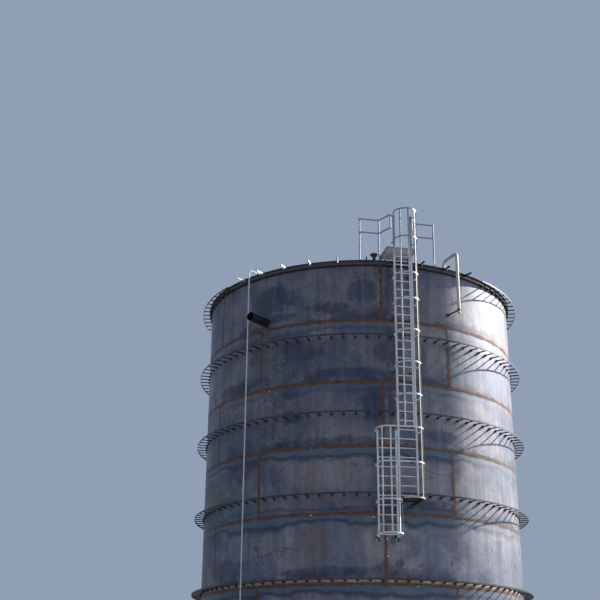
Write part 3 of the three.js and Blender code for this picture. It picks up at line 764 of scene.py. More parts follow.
# %% Finish: shell plate
def shell_plate():
    """All the layers of the shell over each other, then the rust of the welds and pale specks by them."""
    material, where = finish("shell_plate")
    colour, base = plate_base(where)
    at = {**use(PLACES, Vector=where), **base, "Where": where}
    # Each plate a little lighter or darker at random, and the wall lighter towards the bottom: painted bounce light
    # from the floor.
    plates = fade(at["Plate"], 0.0, 1.0, 0.93, 1.07)
    colour = shaded(colour, plates * fade(at["Height"], 2 * COURSE, 5.5 * COURSE, 1.12, 0.9))
    for layer in (dark_clouds, dark_marks, heat_bands, coloured_marks, under_edge, rust_bloom, salmon_band):
        colour = layer(at, colour)
    weld = calc("MINIMUM", calc("MINIMUM", at["Above"], at["Below"]), at["Across"] + 0.006)
    rust = use(RUST, Vector=where, Distance=weld, Width=0.054)
    colour = mixed(rust["Mask"] * 0.9, colour, rust["Colour"])
    spots = use(SPECKS, Vector=where, Scale=3.2, Size=0.07, Share=0.55)
    close = fade(calc("MINIMUM", at["Across"], at["Below"]), 0.14, 0.1)
    return dressed(
        material, mixed(spots["Mask"] * close, colour, (224, 224, 220)), at["Grain"],
        Roughness=fade(rust["Mask"], 0.0, 1.0, 0.58, 0.85), Metallic=fade(rust["Mask"], 0.0, 1.0, 0.64, 0.1),
        Coat_Weight=0.22, Coat_Roughness=0.35,
    )


SHELL_PLATE = shell_plate()

# %% [markdown]
# ### The other finishes
# The roof wears the same scale as the shell. Bars, beads and brackets are too thin for layers, so one
# function makes them all: fine clouds from a dark to a light colour, and spots of a third. Galvanised
# steel shows its spangle, crystals of zinc, as small cells of slightly different greys.

# %% Finishes: roof plate, rusty edge, dark bars and weld metal
def roof_plate():
    """The same scale without welds' bands, and browner where rain stands."""
    material, where = finish("roof_scale", 0.45, 0.6)
    colour, base = plate_base(where, 1.6)
    colour = mixed(0.35, colour, (48, 50, 60))
    stain = fade(noise(where, 0.7, 6.0, 0.65, 0.5), 0.54, 0.7)
    return dressed(material, mixed(stain * 0.3, colour, (92, 78, 72)), base["Grain"])


def rusty_edge():
    """Slate on the leg by the shell, dark rust and painted shade on the outward leg, and a paler rusty rim."""
    material, where = finish("rusty_edge", 0.25, 0.7)
    x, y, _ = split(where)
    out = calc("SQRT", calc("POWER", x, 2.0) + calc("POWER", y, 2.0))
    flecks = noise(where, 5.0, 6.0, 0.7)
    # Dark rust, made darker still as painted shade on the underside of the leg that points out.
    brown = mixed(fade(flecks, 0.35, 0.65), (34, 25, 23), (58, 40, 34))
    colour = mixed(fade(out, RADIUS + 0.016, RADIUS + 0.02), (84, 86, 98), brown)
    rim = mixed(fade(flecks, 0.3, 0.7), (96, 68, 58), (146, 112, 98))
    return dressed(material, mixed(fade(out, EDGE_OUT - 0.0015, EDGE_OUT - 0.0005), colour, rim), flecks)


def flecked(name, dark, light, spot, peaks, grain, metallic, roughness, depth=0.002, ripples=None):
    """Steel that goes from dark to light by fine clouds, with spots of a third colour at their peaks,
    and a bump of the same clouds or of finer ripples."""
    material, where = finish(name, metallic, roughness)
    clouds = noise(where, *grain)
    colour = mixed(fade(clouds, 0.35, 0.6), dark, light)
    height = noise(where, ripples, 2.0) if ripples else clouds
    return dressed(material, mixed(fade(clouds, *peaks), colour, spot), height, depth)


def ring_bar():
    """Dark bar, painted pale on the side that faces the key light: a painted highlight where the sun falls."""
    material, where = finish("ring_bar", 0.5, 0.5)
    clouds = noise(where, 6.0, 5.0, 0.7)
    dark = mixed(fade(clouds, 0.35, 0.6), (48, 50, 56), (70, 72, 78))
    # A pale copy of the bar's colour, as painted light for the side that the key light falls on.
    pale = mixed(fade(clouds, 0.35, 0.6), (150, 146, 140), (178, 174, 168))
    to_key_light = tuple(float(number) for number in around(112, 1 / RING_OUT, 0.0))
    side = vectors("DOT_PRODUCT", where, to_key_light)
    return dressed(material, mixed(fade(side, 0.83, 0.93), dark, pale), clouds, 0.001)


RUST_LOOK = ((128, 88, 60), (0.64, 0.76), (7.0, 6.0, 0.7), 0.15, 0.75)
BAR_LOOK = ((92, 62, 48), (0.64, 0.74), (6.0, 5.0, 0.7), 0.4, 0.5, 0.001)
BEAD_LOOK = ((150, 150, 152), (0.66, 0.74), (9.0, 5.0, 0.75), 0.35, 0.65, 0.002, 120.0)
ROOF_SCALE, RUSTY_EDGE = roof_plate(), rusty_edge()
WELD_METAL = flecked("weld_metal", (60, 42, 32), (112, 72, 42), *BEAD_LOOK)
RUSTY_PLATE = flecked("rusty_plate", (58, 44, 40), (98, 70, 56), *RUST_LOOK)
DARK_RUST = flecked("dark_rust", (38, 30, 28), (66, 50, 43), *RUST_LOOK)
DARK_BAR = flecked("dark_bar", (36, 38, 44), (58, 60, 68), *BAR_LOOK)
# A pale copy of the bars' finish, as painted light for the brackets that the key light falls on.
PAINTED_LIT_BAR = flecked("grey_bar", (150, 151, 154), (182, 182, 184), *BAR_LOOK)
RING_BAR = ring_bar()

# %% Finishes: galvanised steel and black pipe
def zinc(name, light, dark, roughness=0.5, metallic=0.35, shade_above_roof=0.75):
    """Galvanised steel: spangle cells of slightly different greys and soft stains, and a darker grey above
    the roof as painted shade, for parts that stand against the sky."""
    material, where = finish(name, metallic, roughness)
    shade, dull, _ = split(cells(where, 55.0)[1], "Color")
    stain = fade(noise(where, 3.0, 5.0, 0.65), 0.45, 0.72)
    colour = mixed(stain * 0.4, mixed(shade, dark, light), (118, 118, 120))
    # Painted shade: parts above the roof, seen against the sky, turn a darker grey.
    above = fade(split(where)[2], TOP - 0.2, TOP + 0.5, 0.0, shade_above_roof)
    return dressed(material, mixed(above, colour, (104, 110, 119)),
                   Roughness=fade(dull, 0.0, 1.0, roughness - 0.07, roughness + 0.1))


def black_pipe():
    """Black coating that is dusty in places."""
    material, where = finish("black_pipe", 0.0, 0.5)
    dust = fade(noise(where, 2.5, 5.0, 0.6), 0.45, 0.75)
    return dressed(material, mixed(dust, (22, 22, 26), (46, 45, 48)), Roughness=fade(dust, 0.0, 1.0, 0.38, 0.65))


ZINC = zinc("galvanised", (212, 215, 220), (184, 188, 196))
DULL_ZINC = zinc("galvanised_dull", (200, 201, 202), (178, 179, 181), 0.6, 0.1, 0.0)
WARM_ZINC = zinc("galvanised_warm", (200, 186, 174), (176, 164, 154), shade_above_roof=0.3)
BOLT_ZINC = zinc("bolt_zinc", (158, 158, 160), (134, 136, 142), 0.4)
AGED_ZINC = zinc("galvanised_aged", (150, 138, 116), (126, 114, 96), 0.6, 0.2, 0.3)
BLACK_PIPE = black_pipe()

# %% [markdown]
# ## The shell
# Seven courses of plate stand on each other. Each is a thin closed ring: its outer wall goes up, its
# inner wall comes down. Welding pulls thin plate in by a few millimetres, which is what makes
# reflections on such a tank swing at each seam, so the radius dips there.

# %% Shell courses
COLUMNS = 360
ROWS = 15
ROUND = np.linspace(0, 360, COLUMNS, endpoint=False)
COURSE_LOWS = [BOTTOM_TOP] + [number * COURSE for number in range(1, COURSES)]


def dip(turn, height):
    """How far the plate lies inside the true circle: narrow at each level weld, plus two slow waves."""
    level = np.abs((height + COURSE / 2) % COURSE - COURSE / 2)
    one_wave = np.sin(np.radians(7 * turn) + 2.1 * height)
    other_wave = np.sin(np.radians(11 * turn) - 1.3 * height)
    waves = 0.5 + 0.25 * one_wave + 0.25 * other_wave
    inner = 1 - np.exp(-((level / 0.35) ** 2))
    return 0.003 * np.exp(-((level / 0.12) ** 2)) + 0.004 * waves * inner


def course(low, high):
    """An outer grid over angle and height upwards and an inner one downwards, as one."""
    share = (1 - np.cos(np.pi * np.linspace(0, 1, ROWS))) / 2
    height = (low + (high - low) * share)[:, None]
    outer = around(ROUND, RADIUS - dip(ROUND, height), height)
    inner = around(ROUND, RADIUS - PLATE - dip(ROUND, height), height)[::-1]
    return skinned(np.concatenate([outer, inner]), wrap=True)


for number, low in enumerate(COURSE_LOWS, 1):
    piece(f"course_{number}", course(low, number * COURSE), SHELL_PLATE, "shell_steel", f"shell_course_{number}")

# %% [markdown]
# ### Weld beads
# A butt weld stands a few millimetres proud as a low round bead. The level beads are one half-round
# profile carried round the tank, the upright ones the same profile carried up each joint.

# %% Weld beads
BEAD_WIDE = 0.016
BEAD_HIGH = 0.004
BEAD_STEPS = 24
bead_angle = np.linspace(0, np.pi, 6)
bead_arch = np.stack([BEAD_HIGH * np.sin(bead_angle), BEAD_WIDE / 2 * np.cos(bead_angle)], axis=-1)
BEAD = np.concatenate([bead_arch, [[-0.004, -BEAD_WIDE / 2], [-0.004, BEAD_WIDE / 2]]])


def level_bead(height):
    """The bead round the tank at a height, on the plate as it dips there."""
    return swept(around(ROUND, RADIUS - dip(ROUND, height), height), BEAD, wrap=True)


def upright_bead(turn, low, high):
    """The bead up one joint."""
    height = np.linspace(low, high, BEAD_STEPS)
    path = around(np.full(BEAD_STEPS, turn), RADIUS - dip(turn, height), height)
    return swept(path, BEAD * [-1, 1], around(turn + 90, 1.0, 0.0))


def joints_of(number):
    """The angles of a course's upright joints: six joints a whole plate apart, counted from the top."""
    first = ODD_SEAM if (COURSES - number) % 2 else EVEN_SEAM
    return [first + PLATE_TURN * step for step in range(-2, 4)]


beads = [level_bead(COURSE * number) for number in range(1, COURSES)]
for number, low in enumerate(COURSE_LOWS):
    beads += [upright_bead(turn, low, (number + 1) * COURSE) for turn in joints_of(number)]
piece("weld_beads", joined(beads), WELD_METAL, "shell_steel")

# %% [markdown]
# ### Foot, roof and edge
# The bottom plate reaches a little past the shell and is joined to it by a fillet weld. The roof is a
# low cone of plates, and a rolled angle stiffens the shell's top. All are round, so each is a profile
# of a few points spun round the axis. The edge angle is sunk a little into the plate that it is on.

# %% Foot, roof and edge angle
HUB, CROWN, CROWN_LAP = 0.4, 0.4, 0.45
SUNK = 0.002
LIP, LIP_TOP = RADIUS - 0.12, TOP + PLATE + 0.002
crown_top = ROOF_TOP - (ROOF_TOP - TOP - PLATE) * CROWN / LIP
bottom = spun([[HUB, 0], [BOTTOM_OUT, 0], [BOTTOM_OUT, BOTTOM_TOP], [HUB, BOTTOM_TOP]], COLUMNS)
fillet = spun([[-0.005, 0], [0.006, 0], [-0.005, 0.009]], COLUMNS, True, (RADIUS, BOTTOM_TOP))
edge = spun([[-SUNK, 0], [EDGE_WIDE, 0], [EDGE_WIDE, 0.013], [0.012, 0.011], [0.012, EDGE_TALL], [-SUNK, EDGE_TALL]],
            COLUMNS, True, (RADIUS, EDGE_FOOT))
roof = spun([[CROWN, crown_top - PLATE], [LIP, TOP], [ROOF_OUT, TOP], [ROOF_OUT, TOP + PLATE],
             [LIP, LIP_TOP], [CROWN, crown_top]], COLUMNS)
crown = spun([[CROWN_LAP, crown_top - 0.01], [CROWN_LAP, crown_top + 0.002], [0.05, ROOF_TOP - 0.004]], 96)
roof_beads = [swept(around(turn, np.array([CROWN_LAP, LIP]), np.array([crown_top, LIP_TOP])), BEAD[:, ::-1])
              for turn in np.arange(0, 360, 15.0)]
piece("foot_plate", bottom, ROOF_SCALE, "shell_steel", "bottom_plate")
piece("foot_weld", fillet, WELD_METAL, "shell_steel")
piece("roof", joined([roof, crown]), ROOF_SCALE, "dark_steel", "roof_plate")
piece("roof_beads", joined(roof_beads), WELD_METAL, "dark_steel")
piece("edge_angle_round", edge, RUSTY_EDGE, "rusty_steel", "edge_angle")

stud_y, stud_top = -BRACKET_OUT + 0.16, TOP - 0.06
bracket = joined([block((-0.02, -BRACKET_OUT, stud_top), (0.02, -RADIUS - PLATE, TOP - 0.01)),
                  rod((0, stud_y, EDGE_FOOT), (0, stud_y, stud_top), 0.016, 8)])
# Painted light and shade: brackets left of the front are pale, those right of it dark, as the key light falls only
# on the seen sides of the left ones.
for word, numbers, bar in (("left", range(-5, 0), PAINTED_LIT_BAR), ("right", range(5), DARK_BAR)):
    bracket_turns = [BRACKET_START + number * BRACKET_TURN for number in numbers]
    piece(f"edge_brackets_{word}", turned(bracket, *bracket_turns), bar, "dark_steel")

# %% [markdown]
# ## Insulation rings
# A ring is a flat bar that stands a hand's length and a half off the shell. It sits on ninety pegs, and
# each peg has a round foot on the shell. One peg is made at the front and copied round the tank. The
# topmost ring, just under the roof's edge, is still open at the front.

# %% Insulation rings
PEG_TURNS = np.arange(3, 360, 4)
PEG_FOOT = 0.042
RING_THICK, RING_TALL = 0.008, 0.05
TOP_RING_LENGTHS = {"right": (47, 134), "back": (134.4, 222), "left": (222.4, 309.5)}


def ring(height, turns, wrap=False):
    """The flat bar along some angles, and the pegs between its ends, or all pegs on a whole ring."""
    bar = swept(around(turns, RING_OUT - RING_THICK / 2, height), flat(RING_THICK, RING_TALL), wrap=wrap)
    peg = beam(0, height, 0.014, 0.016, -RING_OUT + RING_THICK / 2, -RADIUS - 0.015)
    foot = spun([[PEG_FOOT, -0.008], [PEG_FOOT, 0.04], [PEG_FOOT * 0.8, 0.05]], 10)
    foot = aimed(foot, (0, -RADIUS, height - 0.01), (0, -1, 0))
    held = PEG_TURNS if wrap else PEG_TURNS[(PEG_TURNS > turns[0]) & (PEG_TURNS < turns[-1])]
    return bar, turned(joined([peg, foot]), *held)


top_ring = (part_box("edge_bar_left")[0].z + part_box("edge_bar_left")[1].z) / 2
rings = {f"ring_{number}": (node, ring(height, ROUND, True))
         for number, node, height in zip(range(1, 6), RING_NODES, RING_HEIGHTS)}
for word, (start, end) in TOP_RING_LENGTHS.items():
    rings[f"top_ring_{word}"] = f"edge_bar_{word}", ring(top_ring, np.linspace(start, end, int(end - start) + 1))
for name, (node, (bar, _)) in rings.items():
    piece(name, bar, RING_BAR, "dark_steel", node)
piece("ring_pegs", joined([pegs for _, (_, pegs) in rings.values()]), DARK_BAR, "dark_steel")

# %% [markdown]
# ## Ladders and cages
# Both ladders are built in a frame of their own, with x across, -y outwards and z up, and are then
# turned to their place round the tank. A stile is a folded channel, a rung a round bar, and a cage hoop
# one flat bar whose ends are bent in and bolted to the stiles.

# %% Bolts
def bolts(places, direction, radius=0.011, high=0.009):
    """Six-sided heads on thin washers at several places, all of one direction."""
    washer = spun([[radius * 1.5, 0], [radius * 1.5, high * 0.25]], 10)
    head = spun([[radius, high * 0.2], [radius, high], [radius * 0.7, high * 1.15]], 6)
    return moved_to(aimed(joined([washer, head]), (0, 0, 0), direction), *places)


print("a bolt has", sum(len(faces) for faces in bolts([(0, 0, 0)], (0, 0, 1))[1]), "faces")

# %% Ladders
STILE_WIDE, STILE_DEEP = 0.056, 0.03
FOLD = 0.005
FOOT_PLUG = 0.13
RUNG, RUNG_STEP = 0.015, 0.28
SIDES = (-STILE_APART, STILE_APART)


def upper(*parts):
    """Parts joined, at the upper ladder's place round the tank."""
    return turned(joined(parts), UPPER_TURN)


def lower(*parts):
    """Parts joined, at the lower ladder's place."""
    return turned(joined(parts), LOWER_TURN)


def extruded(section, low, high):
    """A section in plan carried straight up between two heights."""
    section = np.asarray(section, float)
    ends = [np.column_stack([section, np.full(len(section), z)]) for z in (low, high)]
    count = len(section)
    step = np.arange(count)
    walls = np.stack([step, (step + 1) % count, (step + 1) % count + count, step + count], axis=-1)
    return closed(np.concatenate(ends), walls, step[None, ::-1], step[None] + count)


def ladder(box, rungs):
    """Two stiles and the rungs. A stile is a web with two flanges that point back to the shell."""
    half, deep = STILE_WIDE / 2, STILE_DEEP / 2
    channel = np.array([[-half, deep], [-half, -deep], [half, -deep], [half, deep], [half - FOLD, deep],
                        [half - FOLD, -deep + FOLD], [-half + FOLD, -deep + FOLD], [-half + FOLD, deep]])
    stiles = [extruded(channel + [side, -LADDER_OUT], box[0].z, box[1].z) for side in SIDES]
    rung = rod((-STILE_APART, -LADDER_OUT, 0), (STILE_APART, -LADDER_OUT, 0), RUNG, 10)
    return joined([*stiles, moved_to(rung, *[(0, 0, z) for z in rungs])])


def ladder_arms(heights):
    """Flat bars on edge from the stiles to the shell, with a foot plate each."""
    root = math.sqrt(RADIUS**2 - STILE_APART**2)
    return joined([part for x in SIDES for z in heights for part in (
        beam(x, z, 0.005, 0.03, -LADDER_OUT + 0.002, -root + 0.01),
        beam(x, z, 0.03, 0.05, -root - 0.008, -root + 0.012),
    )])


def stile_feet(low):
    """Dark plugs in the lower ends of the stiles, which stand out below them."""
    wide, deep = STILE_WIDE / 2 - 0.004, STILE_DEEP / 2 - 0.002
    return joined([post(x, -LADDER_OUT, wide, deep, low - FOOT_PLUG, low + 0.03) for x in SIDES])


upper_ladder = ladder(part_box("ladder_upper"), 14.3 - RUNG_STEP * np.arange(29))
lower_ladder = ladder(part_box("ladder_lower"), 5.33 + RUNG_STEP * np.arange(11))
piece("upper_ladder", upper(upper_ladder), ZINC, "galvanised", "ladder_upper")
piece("lower_ladder", lower(lower_ladder), ZINC, "galvanised", "ladder_lower")
arms = joined([upper(ladder_arms(UPPER_ARMS)), lower(ladder_arms(LOWER_ARMS))])
piece("ladder_arms", arms, RUSTY_PLATE, "rusty_steel")

# %% Cages
HOOP_THICK, HOOP_TALL = 0.008, 0.045
STRAP_HALF, STRAP_THICK = 0.0225, 0.006
CAGE_Y = -LADDER_OUT - CAGE_STRAIGHT
FOOT_Y = -LADDER_OUT - STILE_DEEP / 2 - HOOP_THICK / 2


def cage_arc(half, last=np.pi, steps=28):
    """Points in plan round the front of a cage, from its right side."""
    angle = np.linspace(0, last, steps)
    return np.stack([half * np.cos(angle), CAGE_Y - half * np.sin(angle)], axis=-1)


def hoop_line():
    """A hoop in plan, from the right stile round the front to the left one, along the bar's middle."""
    half = CAGE_HALF - HOOP_THICK / 2
    start = rounded([[STILE_APART - 0.02, FOOT_Y], [half, FOOT_Y], [half, CAGE_Y]], 0.02, 4)[:-1]
    return np.concatenate([start, cage_arc(half), start[::-1] * [-1, 1]])


def hoops(line, heights):
    """Flat bars bent along a line in plan, at several heights."""
    bar = swept(np.column_stack([line, np.zeros(len(line))]), flat(HOOP_THICK, HOOP_TALL))
    return moved_to(bar, *[(0, 0, z) for z in heights])


def about_cage(part, turns):
    """Copies of a part turned about the middle of the cage's round front."""
    points, blocks = turned(part, *turns)
    return points + [0, CAGE_Y, 0], blocks


def straps(turns, low, high):
    """Upright flat bars just inside the hoops."""
    inner = CAGE_HALF - HOOP_THICK
    return about_cage(block((-STRAP_HALF, -inner, low), (STRAP_HALF, -inner + STRAP_THICK, high)), turns)


def hoop_bolts(turns, heights):
    """A bolt head outside each hoop where it crosses a strap."""
    return about_cage(bolts([(0, -CAGE_HALF, z) for z in heights], (0, -1, 0), radius=0.009, high=0.007), turns)


def foot_bolts(heights, sides=SIDES):
    """A bolt through each bent hoop end into its stile."""
    return bolts([(x, FOOT_Y - HOOP_THICK / 2, z) for x in sides for z in heights], (0, -1, 0))


upper_top, shared_top, lower_top = (
    heights[-1] + HOOP_TALL / 2 for heights in (UPPER_HOOPS, SHARED_HOOPS, LOWER_HOOPS))
upper_straps = straps([turn for turn in STRAP_TURNS if turn != AGED_STRAP], shared_top, upper_top)
lower_straps = straps(STRAP_TURNS, LOWER_HOOPS[0] - HOOP_TALL / 2, lower_top)
piece("upper_cage", upper(hoops(hoop_line(), UPPER_HOOPS), upper_straps), ZINC, "galvanised",
      "cage_upper_1", "cage_upper_2", "cage_upper_3")
piece("lower_cage", lower(hoops(hoop_line(), LOWER_HOOPS), lower_straps), ZINC, "galvanised", "cage_lower")

# %% [markdown]
# ### The wide cage
# Where one steps from the lower ladder across to the rest platform, the two cages are one. Its hoops
# follow the right half of the upper cage, cross over straight, and follow the left half of the lower.

# %% Wide cage
def turned_line(line, turn):
    """Points in plan turned about the tank's axis."""
    c, s = math.cos(math.radians(turn)), math.sin(math.radians(turn))
    return line @ np.array([[c, s], [-s, c]])


line = hoop_line()
half_way = len(line) // 2
wide_line = np.concatenate([turned_line(line[:half_way + 1], UPPER_TURN), turned_line(line[half_way:], LOWER_TURN)])
platform_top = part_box("rest_platform")[1].z
wide_cage = joined([
    hoops(wide_line, SHARED_HOOPS),
    lower(straps(STRAP_TURNS[:3], lower_top, shared_top)),
    upper(straps(STRAP_TURNS[4:], platform_top, shared_top)),
])
cage_bolts = joined([
    upper(hoop_bolts(STRAP_TURNS, UPPER_HOOPS), foot_bolts(UPPER_HOOPS)),
    lower(hoop_bolts(STRAP_TURNS, LOWER_HOOPS), foot_bolts(LOWER_HOOPS)),
    lower(hoop_bolts(STRAP_TURNS[:3], SHARED_HOOPS), foot_bolts(SHARED_HOOPS, SIDES[:1])),
    upper(hoop_bolts(STRAP_TURNS[3:], SHARED_HOOPS), foot_bolts(SHARED_HOOPS, SIDES[1:])),
])
piece("wide_cage", wide_cage, ZINC, "galvanised", "cage_shared")
piece("aged_strap", upper(straps([AGED_STRAP], platform_top, upper_top)), AGED_ZINC, "galvanised")
piece("cage_bolts", cage_bolts, BOLT_ZINC, "galvanised")

# %% [markdown]
# ## Platforms and guard rails
# The rest platform is a half-round floor with an upright rim, on two arms. The landing is a shallow
# tray: a floor plate inside a frame of angle bars, which shows as a darker border from below, partly by
# the painted shade that the galvanised finish gets above the roof. The guard rails are bent tubes, so a
# circle is carried along a path with rounded corners.

# %% Rest platform
PLATFORM_TALL, FLOOR_THICK = 0.04, 0.006
PLATFORM_LEFT, PLATFORM_HALF = 0.311, CAGE_HALF - 0.003
under, floor_low = platform_top - PLATFORM_TALL, platform_top - FLOOR_THICK
back = -LADDER_OUT + 0.1
arc = cage_arc(PLATFORM_HALF, np.arccos(-PLATFORM_LEFT / PLATFORM_HALF))
right_side = np.concatenate([[[PLATFORM_HALF, back]], arc])
platform = [
    extruded(np.concatenate([right_side, [[-PLATFORM_LEFT, back]]]), floor_low, platform_top),
    block((-PLATFORM_LEFT, back - FLOOR_THICK, under), (PLATFORM_HALF, back, floor_low)),
]
for x in (-0.2, 0.23):
    platform.append(beam(x, under - 0.015, 0.005, 0.045, -LADDER_OUT - 0.42, -RADIUS + 0.05))
    platform.append(beam(x, under - 0.075, 0.005, 0.045, -RADIUS - 0.06, -RADIUS + 0.02))
rim_line = np.column_stack([right_side, np.full(len(right_side), platform_top - PLATFORM_TALL / 2)])
arm_bolts = bolts([(0.236, -LADDER_OUT - 0.12, under - 0.03), (0.236, -RADIUS - 0.04, under - 0.08),
                   (-0.194, -LADDER_OUT - 0.12, under - 0.03)], (1, 0, 0), radius=0.014, high=0.012)
piece("rest_floor", upper(*platform), DARK_RUST, "rusty_steel", "rest_platform")
piece("rest_rim", upper(swept(rim_line, flat(0.006, PLATFORM_TALL))), WARM_ZINC, "galvanised")
piece("rest_bolts", upper(arm_bolts), BOLT_ZINC, "galvanised")

# %% Landing
LANDING_HALF, LANDING_BAR, LANDING_TALL = 0.5, 0.04, 0.045
LANDING_NEAR, LANDING_FAR = -LADDER_OUT + 0.05, -4.75
TRAY_EDGE = 0.038
LEG, LEG_THICK = 0.05, 0.006


def roof_height(out):
    """Height of the roof's upper face at a distance from the axis."""
    return float(LIP_TOP + (ROOF_TOP - LIP_TOP) * np.clip((LIP - out) / LIP, 0, 1))


def landing(top):
    """Frame of four bars, and four legs of angle bar, corner outwards, with foot plates on the roof."""
    half, near, far, bar, low = LANDING_HALF, LANDING_NEAR, LANDING_FAR, LANDING_BAR, top - LANDING_TALL
    parts = [block((left, front, low), (right, end, top)) for left, right, front, end in (
        (-half, half, near, near + bar), (-half, half, far - bar, far),
        (-half, -half + bar, near + bar, far - bar), (half - bar, half, near + bar, far - bar),
    )]
    h, t = LEG / 2, LEG_THICK
    section = np.array([[-h, -h], [h, -h], [h, h], [h - t, h], [h - t, -h + t], [-h, -h + t]])
    for x in (-half + LEG, half - LEG):
        for y in (far - LEG, -RADIUS + LEG):
            foot = roof_height(math.hypot(x, y)) + 0.002
            parts.append(extruded(section * [math.copysign(1, x), 1] + [x, y], foot, low + 0.002))
            parts.append(post(x, y, 0.045, 0.045, foot - 0.004, foot + 0.006))
    return joined(parts)


landing_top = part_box("landing_platform")[1].z
tray = block((-LANDING_HALF + TRAY_EDGE, LANDING_NEAR + TRAY_EDGE, landing_top - 0.012),
             (LANDING_HALF - TRAY_EDGE, LANDING_FAR - TRAY_EDGE, landing_top - 0.004))
piece("landing_frame", upper(landing(landing_top)), ZINC, "galvanised", "landing_platform")
piece("landing_tray", upper(tray), DULL_ZINC, "galvanised")

# %% Guard rails
RAIL_OUT = 5.15
RAIL_TOP, RAIL_MIDDLE = 15.496, 15.03
RAIL_END, RAIL_CORNER = 1.24, 0.6
RAIL_TIP, RAIL_TIP_OUT = 0.355, 5.67
TUBE = 0.025


def guard_rail(side):
    """Top and middle rail as bent tubes, an upright at the ladder, and two posts on the roof."""
    end, corner = (side * RAIL_END, -RAIL_OUT), (side * RAIL_CORNER, -RAIL_OUT)
    tip = (side * RAIL_TIP, -RAIL_TIP_OUT)
    parts = [swept(rounded([(*end, z), (*corner, z), (*tip, z)], 0.04, 5), circle(TUBE, 12))
             for z in (RAIL_TOP, RAIL_MIDDLE)]
    parts.append(rod((*tip, RAIL_MIDDLE - TUBE), (*tip, RAIL_TOP + TUBE * 0.9), TUBE))
    for x, y in (end, corner):
        foot = roof_height(math.hypot(x, y))
        parts.append(rod((x, y, foot), (x, y, RAIL_TOP + TUBE * 0.9), TUBE))
        parts.append(post(x, y, 0.05, 0.05, foot - 0.004, foot + 0.01))
    return joined(parts)


for side, word in ((-1, "left"), (1, "right")):
    piece(f"rail_{word}", upper(guard_rail(side)), ZINC, "galvanised", f"guard_rail_{word}")

# %% [markdown]
# ## Pipes and vent
# The overflow pipe rises from the roof, turns outward in two easy bends and runs down to an open end.
# The stub is a thick black pipe end with a pad on the shell. Open ends show the wall's thickness, so
# each is a tube whose profile closes on itself.

# %% Overflow pipe
OVERFLOW_TURN = 32.8
OVERFLOW_PIPE, PIPE_WALL = 0.05, 0.008
OVERFLOW_IN, OVERFLOW_OUT, OVERFLOW_HIGH = -5.19, -5.88, 14.32
overflow_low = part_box("overflow_pipe")[0].z
roof_end = roof_height(-OVERFLOW_IN)
ON_SHELL = -RADIUS + 0.01


def overflow():
    """A round section along the bent path, then an open sleeve of the same size at its lower end."""
    path = rounded([(0, OVERFLOW_IN, roof_end), (0, OVERFLOW_IN, OVERFLOW_HIGH),
                    (0, OVERFLOW_OUT, OVERFLOW_HIGH + 0.08), (0, OVERFLOW_OUT, overflow_low + 0.14)], 0.15, 10)
    mouth = spun([[-PIPE_WALL, 0.139], [-PIPE_WALL, 0], [0, 0], [0, 0.1405], [-PIPE_WALL, 0.1405]],
                 20, True, (OVERFLOW_PIPE, overflow_low))
    collar = spun([[0.03, -0.002], [0.03, 0.01], [0.002, 0.014]], 24, False, (OVERFLOW_PIPE, roof_end))
    run = swept(path, circle(OVERFLOW_PIPE, 20), (1, 0, 0))
    return joined([run, moved_to(mouth, (0, OVERFLOW_OUT, 0)), moved_to(collar, (0, OVERFLOW_IN, 0))])


def overflow_clip(z):
    """A split ring round the pipe, its arm and its pad on the shell, and the ears of the ring."""
    return joined([
        moved_to(sleeve(OVERFLOW_PIPE + 0.0005, 0.01, z, 0.025, 24), (0, OVERFLOW_OUT, 0)),
        beam(0, z, 0.005, 0.025, OVERFLOW_OUT + OVERFLOW_PIPE + 0.005, ON_SHELL),
        beam(0, z, 0.06, 0.06, -RADIUS - 0.007, ON_SHELL),
        beam(0.0575, z, 0.0025, 0.025, OVERFLOW_OUT - 0.012, OVERFLOW_OUT + 0.012),
    ])


clip = turned(overflow_clip(overflow_low + 0.11), OVERFLOW_TURN)
piece("overflow", turned(overflow(), OVERFLOW_TURN), WARM_ZINC, "galvanised", "overflow_pipe")
piece("overflow_holder", clip, DARK_BAR, "dark_steel", "overflow_arm")

# %% Pipe stub, thin pipe and vent
STUB_TURN, STUB_HEIGHT, STUB_PIPE, STUB_LONG = -33.8, 12.25, 0.14, 0.82
THIN_TURN, THIN_HIGH, THIN_PIPE = -39, 14.12, 0.021
THIN_IN, THIN_OUT = RADIUS - 0.06, RING_OUT + THIN_PIPE + 0.002
VENT_TURN, VENT_OUT = 6, 5.12
thin_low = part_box("thin_pipe")[0].z


def stub():
    """A thick open pipe along the tank's radius, on a round pad, with a weld between."""
    return joined([spun(profile, 40, True, (STUB_PIPE, 0)) for profile in (
        [[0, 0], [0, STUB_LONG], [-PIPE_WALL, STUB_LONG], [-PIPE_WALL, 0.03], [-0.13, 0.03], [-0.13, 0]],
        [[0.013, -0.008], [0.013, 0.012], [0.002, 0.012], [-0.005, -0.008]],
        [[0.012, 0.011], [0.009, 0.02], [-0.002, 0.024], [-0.002, 0.011]],
    )])


def thin_pipe():
    """A thin bent pipe, its socket on the roof's edge, and a clamp at each ring."""
    path = rounded([(0, -THIN_IN, THIN_HIGH), (0, -THIN_OUT, THIN_HIGH), (0, -THIN_OUT, thin_low)], 0.13, 8)
    socket = spun([[0.034, roof_height(THIN_IN)], [0.034, THIN_HIGH + 0.03], [0.022, THIN_HIGH + 0.034]], 16)
    parts = [swept(path, circle(THIN_PIPE, 12), (1, 0, 0)), moved_to(socket, (0, -THIN_IN, 0))]
    for z in RING_HEIGHTS:
        parts.append(moved_to(sleeve(THIN_PIPE, 0.005, z, 0.015, 16), (0, -THIN_OUT, 0)))
        parts.append(beam(0, z, 0.032, 0.015, -RING_OUT - 0.005, -RING_OUT))
    return joined(parts)


